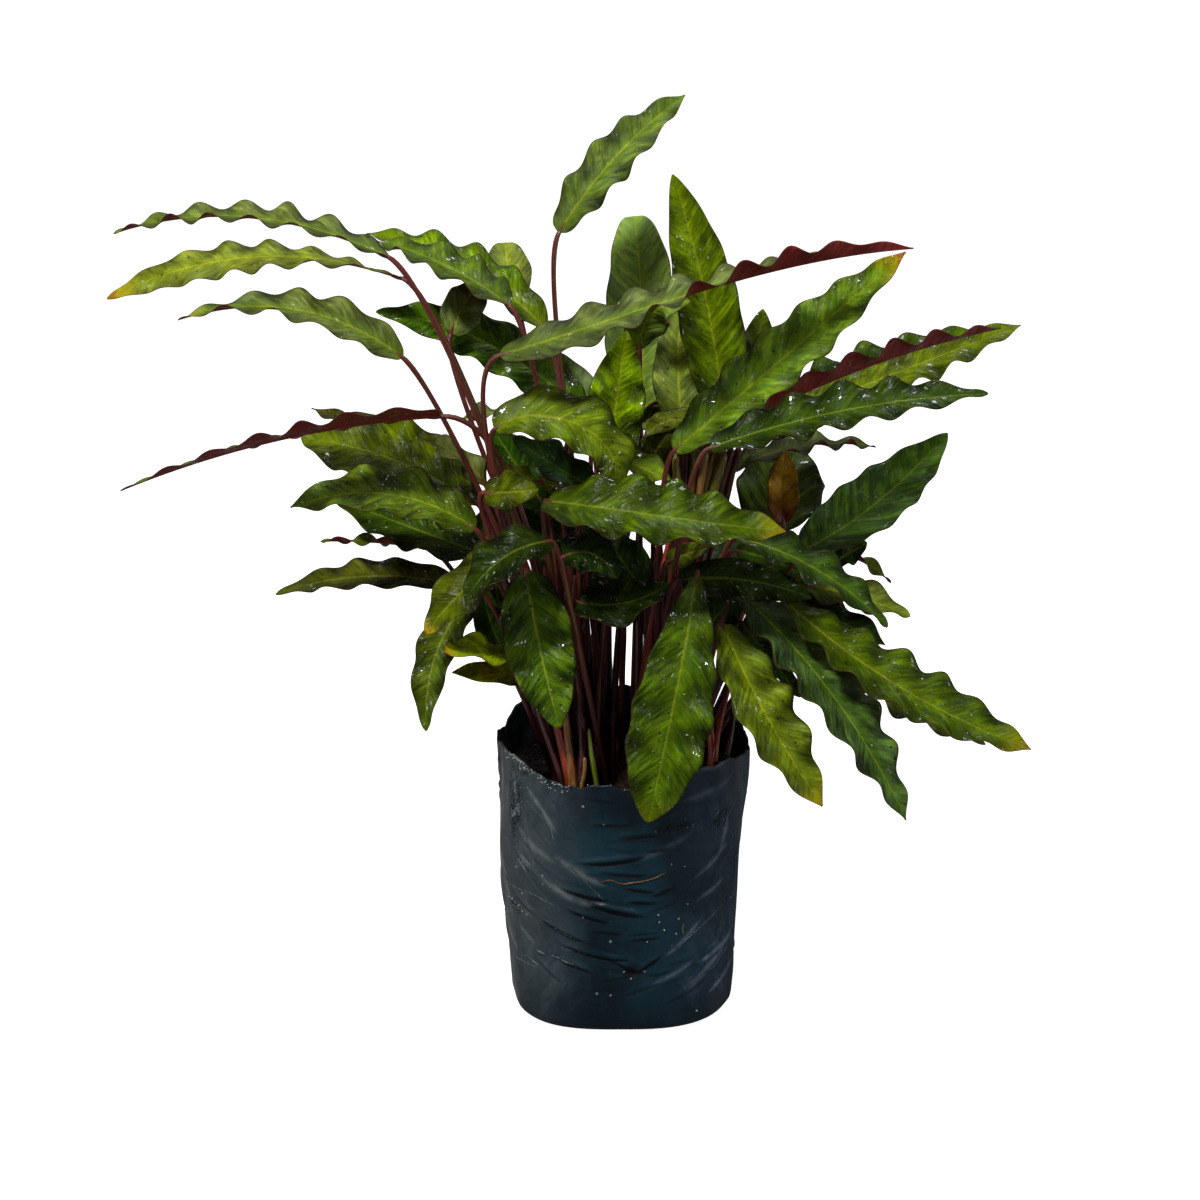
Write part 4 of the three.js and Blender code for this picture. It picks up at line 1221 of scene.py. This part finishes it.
def dish_arrays(edge_ring, height_at, sides, rows, depths):
    """A closed lumpy disc: its top follows height_at, and its sides go down to a flat underside."""
    angle = full_turn(sides, -np.pi)
    edge = edge_ring(angle, SOIL_LEVEL)
    stack = []
    for share in np.linspace(0.02, 1, rows):
        x = edge[:, 0] * share
        y = edge[:, 1] * share
        stack.append(together(x, y, height_at(x, y, share)))
    for depth in depths:
        stack.append(edge_ring(angle, SOIL_LEVEL - depth) * [0.95, 0.95, 1])
    first = (0, 0, stack[0][:, 2].mean())
    return *closed_rings(np.array(stack), first, (0, 0, SOIL_LEVEL - depths[-1]), flip=True), {}


def soil_edge(angle, z):
    return bag_ring(angle, 3 * FILM_THICKNESS, 0 * angle + z)


def soil_height(x, y, share):
    return SOIL_LEVEL - 1.5 + ripple(x, y, 5) * 0.8 + 3.0 * share ** 6


def crown_edge(angle, z):
    radius = CROWN_RADIUS + CROWN_LOBE * np.cos(3 * angle + 1) + CROWN_KNOB * np.cos(7 * angle)
    return together(radius * np.cos(angle), radius * np.sin(angle), z)


def crown_height(x, y, share):
    return SOIL_LEVEL + CROWN_DOME * (1 - share ** 3) - 3 * share ** 8 + ripple(x * 1.6, y * 1.6, 9) * 1.1


# Geometry Nodes: crumbs, grit and water drops


def scatter_tree(name, spread_where=None):
    """Scatters a small shape over a surface, turned to it and of uneven size, as real mesh."""
    sockets = {"Geometry": "Geometry", "Shape": "Object", "Spacing": "Float", "Density": "Float",
               "Least": "Float", "Most": "Float", "Seed": "Int", "Finish": "Material"}
    m, given = start_group(name, "GeometryNodeTree", sockets)
    m.tree.interface.new_socket("Geometry", in_out="OUTPUT", socket_type="NodeSocketGeometry")
    spread = {"Mesh": given["Geometry"], "Distance Min": given["Spacing"], "Density Max": given["Density"],
              "Seed": given["Seed"]}
    if spread_where:
        where = {"Name": spread_where}
        where = m.get("GeometryNodeInputNamedAttribute", "Attribute", where, data_type="FLOAT")
        spread["Density Factor"] = where
    points = m.add("GeometryNodeDistributePointsOnFaces", spread, distribute_method="POISSON")
    shape = {"Object": given["Shape"]}
    shape = m.get("GeometryNodeObjectInfo", "Geometry", shape, transform_space="ORIGINAL")
    size = m.get("FunctionNodeRandomValue", 1, {2: given["Least"], 3: given["Most"]}, data_type="FLOAT")
    spin = m.get("FunctionNodeRandomValue", 1, {2: 0, 3: 6.2832, "Seed": 7}, data_type="FLOAT")
    turn = m.get("FunctionNodeAxisAngleToRotation", 0, {"Axis": (0, 0, 1), "Angle": spin})
    turn = {0: Wire(m, points.outputs["Rotation"]), 1: turn}
    turn = m.get("FunctionNodeRotateRotation", 0, turn, rotation_space="LOCAL")
    points = Wire(m, points.outputs["Points"])
    placed = {"Points": points, "Instance": shape, "Rotation": turn, "Scale": size}
    placed = m.get("GeometryNodeInstanceOnPoints", 0, placed)
    real = m.get("GeometryNodeRealizeInstances", 0, {0: placed})
    finish = m.get("GeometryNodeSetMaterial", 0, {"Geometry": real, "Material": given["Finish"]})
    m.add("NodeGroupOutput", {0: finish})
    return m.tree


def scatter(name, tree, carrier, *values):
    """Runs a scatter tree on a copy of the carrier and keeps the result as a plain mesh. The values
    are those of the tree's inputs after the first, in their order."""
    holder = new_object(name + "_holder", carrier.copy())
    modifier = holder.modifiers.new("scatter", "NODES")
    modifier.node_group = tree
    sockets = [item for item in tree.interface.items_tree if item.in_out == "INPUT"]
    for socket, value in zip(sockets[1:], values):
        modifier[socket.identifier] = value
    graph = bpy.context.evaluated_depsgraph_get()
    mesh = bpy.data.meshes.new_from_object(holder.evaluated_get(graph))
    mesh.name = name
    bpy.data.objects.remove(holder)
    return new_object(name, mesh)


def lump(name, seed, flat=0.75, size=1.0):
    """A small rough crumb about 2 mm across, to be scattered; it is never shown itself."""
    draw = np.random.default_rng(seed)
    mesh = bpy.data.meshes.new(name)
    form = bmesh.new()
    bmesh.ops.create_icosphere(form, subdivisions=1, radius=size * MM)
    for vertex in form.verts:
        vertex.co *= 1 + draw.uniform(-0.22, 0.22)
        vertex.co.z *= flat
    form.to_mesh(mesh)
    form.free()
    return bpy.data.objects.new(name, mesh)


def drop_shape(name):
    """A low round dome of water, 1 mm in radius, to be scattered; it is never shown itself."""
    turn = full_turn(7)
    profile = [(1.0, -0.05), (0.92, 0.3), (0.6, 0.55), (0.25, 0.66)]
    rings = [together(r * np.cos(turn), 0.8 * r * np.sin(turn), z) for r, z in profile]
    mesh = new_mesh(name, *closed_rings(np.array(rings), (0, 0, -0.05), (0, 0, 0.68)), {})
    return bpy.data.objects.new(name, mesh)


# Pieces


def on_film(marks, out):
    """Points on the outside of the film for marks of degrees round and height, lifted off it by out."""
    marks = np.array(marks, float)
    return bag_ring(np.radians(marks[:, 0]), -out, marks[:, 1])


def film_thread(marks, radius, flat, out, seed):
    """A thin thread that lies along the film through the marks and fades out at both ends."""
    line = smooth_line(marks, 48, 5)
    share = np.linspace(0, 1, len(line))
    swell = np.sin(np.pi * share) ** 0.6 * (1 + 0.3 * slow_noise(share, seed, 4))
    return tube_arrays(on_film(line, out), radius * swell + 0.04, flat, seed, sides=8)


def pebble_arrays(mark, out, size, seed, shape=(1, 1, 1)):
    """One small uneven grain of five rings of seven points, at a mark on the film."""
    draw = np.random.default_rng(seed)
    turn = full_turn(7)
    tip = np.linspace(0, np.pi, 7)[1:-1, None]
    ball = together(np.sin(tip) * np.cos(turn), np.sin(tip) * np.sin(turn), np.cos(tip))
    ball = ball * draw.uniform(0.8, 1.15, (35, 1)).reshape(5, 7, 1)
    points, quads = closed_rings(ball, (0, 0, 1), (0, 0, -1), flip=True)
    return points * np.array(shape) * size + on_film([mark], out)[0], quads, {}


def make_film_marks(finishes):
    """What clings to the film: welts and slit lips coloured pale as painted highlights, a root fibre, white
    grains and rim crumbs, some of them standing in for glints as painted highlights.
    """
    threads = [(marks, 0.42) for marks in WELTS] + [(marks, 0.95) for marks in SLITS]
    threads = [film_thread(*thread, 1.3, -0.1, 30 + number) for number, thread in enumerate(threads)]
    make_piece("film_welts", join(threads), finishes["film_edge"], "film")
    fibres = [film_thread(FIBRE, 0.5, 1.1, 0.5, 3), film_thread(FIBRE_BIT, 0.35, 1, 0.35, 4)]
    make_piece("root_fibre", join(fibres), finishes["root_fibre_skin"], "soil")
    draw = np.random.default_rng(17)
    grains = [(mark, 0.3, 0.8 * size) for *mark, size in GRAINS]
    for _ in range(RIM_CRUMBS_AND_GLINTS):
        degrees = draw.uniform(-160, -112)
        height = rim_height(degrees) - draw.uniform(0, 2.6) ** 2
        grains.append(((degrees, height), 0.1, draw.uniform(0.2, 0.7)))
    grains = [pebble_arrays(*grain, 100 + number) for number, grain in enumerate(grains)]
    make_piece("film_grains", join(grains), finishes["pale_grit"], "soil")
    plugs = [pebble_arrays(mark, -0.26 * size, size, seed, (1, 0.35, 1))
             for mark, size, seed in ((DRAIN_HOLE, 5.4, 7), (PUNCTURE, 2.2, 8))]
    make_piece("hole_soil", join(plugs), finishes["dark_soil"], "soil")


def make_soil(material, grit):
    arrays = dish_arrays(soil_edge, soil_height, sides=160, rows=80, depths=SOIL_DEPTHS)
    soil = new_object("soil_bed", new_mesh("soil_bed", *arrays))
    soil.data.materials.append(material)
    tree = scatter_tree("scatter_over_ground")
    top = top_only(soil.data, SOIL_LEVEL - 6)
    # Name, shape, spacing, density, least and most size, seed and finish
    kinds = [
        ("soil_crumbs", lump("crumb_shape", 3), 0.0016, 90000.0, 0.4, 1.7, 4, material),
        ("soil_chips", lump("bark_shape", 8, flat=0.4, size=2.4), 0.008, 4200.0, 0.5, 1.8, 9, material),
        ("soil_grit", lump("grit_shape", 12, flat=0.9, size=0.9), 0.009, 1500.0, 0.4, 1.2, 2, grit),
    ]
    loose = [scatter(name, tree, top, *values) for name, *values in kinds]
    settle(soil, "soil", "potting_soil")
    for piece in loose:
        settle(piece, "soil")


def top_only(mesh, height):
    """A copy of a mesh with only the faces above a height, in millimetres, for scattering on."""
    form = bmesh.new()
    form.from_mesh(mesh)
    low = [face for face in form.faces if min(vertex.co.z for vertex in face.verts) < height * MM]
    bmesh.ops.delete(form, geom=low, context="FACES")
    top = mesh.copy()
    form.to_mesh(top)
    form.free()
    return top


def make_stalks(skins, husk):
    """The stalks and rolled leaves, the crown, and the sheaths with a material slot for each colour."""
    leaves = LEAVES + YOUNG_LEAVES + INNER_LEAVES
    parts = [stalk_arrays(leaf, number) for number, leaf in enumerate(leaves, 1)]
    parts += [rolled_leaf_arrays(tip, number) for number, tip in enumerate(ROLLED_LEAF_TIPS, 90)]
    make_piece("leaf_stalks", join(parts), skins["skin"], "stalk", "crown_and_stalks")
    crown = dish_arrays(crown_edge, crown_height, sides=120, rows=40, depths=(25,))
    make_piece("crown_of_rhizomes", crown, husk, "stalk", "crown_and_stalks")
    names = sorted({sheath[0][0] for sheath in SHEATHS})
    parts = [sheath_arrays(sheath, number) for number, sheath in enumerate(SHEATHS, 140)]
    sheaths = new_object("stalk_sheaths", new_mesh("stalk_sheaths", *join(parts)))
    for name in names:
        sheaths.data.materials.append(skins[name])
    colours = [names.index(sheath[0][0]) for sheath, part in zip(SHEATHS, parts) for _ in part[1]]
    sheaths.data.polygons.foreach_set("material_index", colours)
    settle(sheaths, "stalk")


def make_blades(materials):
    for number, leaf in enumerate(LEAVES, 1):
        tone = leaf["tone"]
        name = f"blade_{number:02d}"
        make_piece(name, blade_arrays(leaf, number), materials[tone], "leaf_" + tone, f"leaf_{number:02d}")
    for number, leaf in enumerate(YOUNG_LEAVES, 1):
        arrays = blade_arrays(leaf, 60 + number)
        make_piece(f"young_blade_{number}", arrays, materials[leaf["tone"]], "stalk", "crown_and_stalks")
    for number, leaf in enumerate(INNER_LEAVES, 1):
        arrays = blade_arrays(leaf, 75 + number)
        make_piece(f"inner_blade_{number}", arrays, materials[leaf["tone"]], "leaf_" + leaf["tone"])


def make_drops(water):
    """Water drops on the upper faces of the leaves that the photograph shows wet."""
    parts = []
    for number, leaf in enumerate(LEAVES, 1):
        wet = leaf["look"][3]
        if wet > 0:
            top, _, place, share, _ = blade_points(leaf, number)
            clump = slow_noise(place[..., 1] / 40, number, 1) + slow_noise(place[..., 0] / 30, number + 5, 1)
            density = (np.abs(share[..., 0]) < 0.88) * wet * np.clip(-0.05 + 1.3 * clump, 0.03, 1)
            parts.append((top.reshape(-1, 3), grid_faces(*density.shape), {"wetness": density.ravel()}))
    carrier = new_mesh("wet_faces", *join(parts))
    tree = scatter_tree("scatter_drops", "wetness")
    # Shape, spacing, density, least and most size, seed and finish
    values = (drop_shape("drop_shape"), 0.0032, 17000.0, 0.3, 1.5, 6, water)
    settle(scatter("water_drops", tree, carrier, *values), "leaf_green")


# Stage


def make_camera():
    """Stands where the photograph was taken from, with its angle of view on a square frame."""
    data = bpy.data.cameras.new("viewpoint")
    data.sensor_width = 36
    data.lens = 81.45
    data.clip_end = 200
    camera = new_object("viewpoint", data)
    camera.location = (-0.0185, -2.0, 0.965)
    camera.rotation_euler = (math.radians(72.15), 0, 0)
    bpy.context.scene.camera = camera


def make_floor():
    mesh = bpy.data.meshes.new("floor")
    corners = [(x * 40.0, y * 40.0, -0.0004) for x, y in ((-1, -1), (1, -1), (1, 1), (-1, 1))]
    mesh.from_pydata(corners, [], [(0, 1, 2, 3)])
    floor = new_object("floor", mesh)
    material, m, shader = new_material("pale_floor", Roughness=0.9, Specular_IOR_Level=0.1)
    seen = m.get("ShaderNodeLightPath", "Is Camera Ray")
    m.put(shader.inputs["Base Color"], m.mix(seen, (0.25, 0.25, 0.25, 1), (0.8, 0.8, 0.8, 1)))
    m.put(shader.inputs["Emission Color"], (1, 1, 1, 1))
    m.put(shader.inputs["Emission Strength"], seen * 0.95)
    mesh.materials.append(material)


def make_lights():
    """White air that the camera sees and reflections see a little, five round lamps and a soft sky."""
    scene = bpy.context.scene
    scene.view_settings.view_transform = "Standard"
    world = bpy.data.worlds.new("studio_air")
    world.use_nodes = True
    world.node_tree.nodes.clear()
    m = Maker(world.node_tree)
    seen = m.get("ShaderNodeLightPath", "Is Camera Ray")
    mirrored = m.get("ShaderNodeLightPath", "Is Glossy Ray")
    strength = mirrored * 0.13 + seen.ramp(0, 1, 0.07, 1)
    air = m.get("ShaderNodeBackground", 0, {"Color": (0.97, 0.98, 1.0, 1), "Strength": strength})
    m.add("ShaderNodeOutputWorld", {"Surface": air})
    scene.world = world
    lamps = [
        ("key", (-0.8, -1.3, 2.5), 0.4, 0.4, 52),
        ("fill", (1.3, -2.0, 1.5), 0.4, 0.5, 5),
        ("top", (0.3, 0.8, 2.2), 0.4, 0.6, 9),
        ("left_side", (-1.5, -0.3, 0.35), 0.12, 0.5, 3),
        ("right_side", (1.5, -0.3, 0.45), 0.12, 0.5, 3),
    ]
    for name, place, target_height, size, power in lamps:
        data = bpy.data.lights.new(name, "AREA")
        data.shape = "DISK"
        data.size = size
        data.energy = power
        lamp = new_object(name, data)
        lamp.location = place
        way = Vector((0, 0, target_height)) - lamp.location
        lamp.rotation_euler = way.to_track_quat("-Z", "Y").to_euler()
    data = bpy.data.lights.new("sky_light", "SUN")
    data.energy = 0.35
    data.angle = math.radians(45)
    new_object("sky_light", data).rotation_euler = (math.radians(22), math.radians(-12), 0)


make_camera()
make_floor()
make_lights()
leaf_tones = leaf_materials()
finishes = ground_materials()
make_piece("film_bag", bag_arrays(), film_material(), "film", "grow_bag")
make_film_marks(finishes)
make_soil(finishes["dark_soil"], finishes["pale_grit"])
make_stalks(stalk_materials(), finishes["crown_husk"])
make_blades(leaf_tones)
make_drops(water_material())
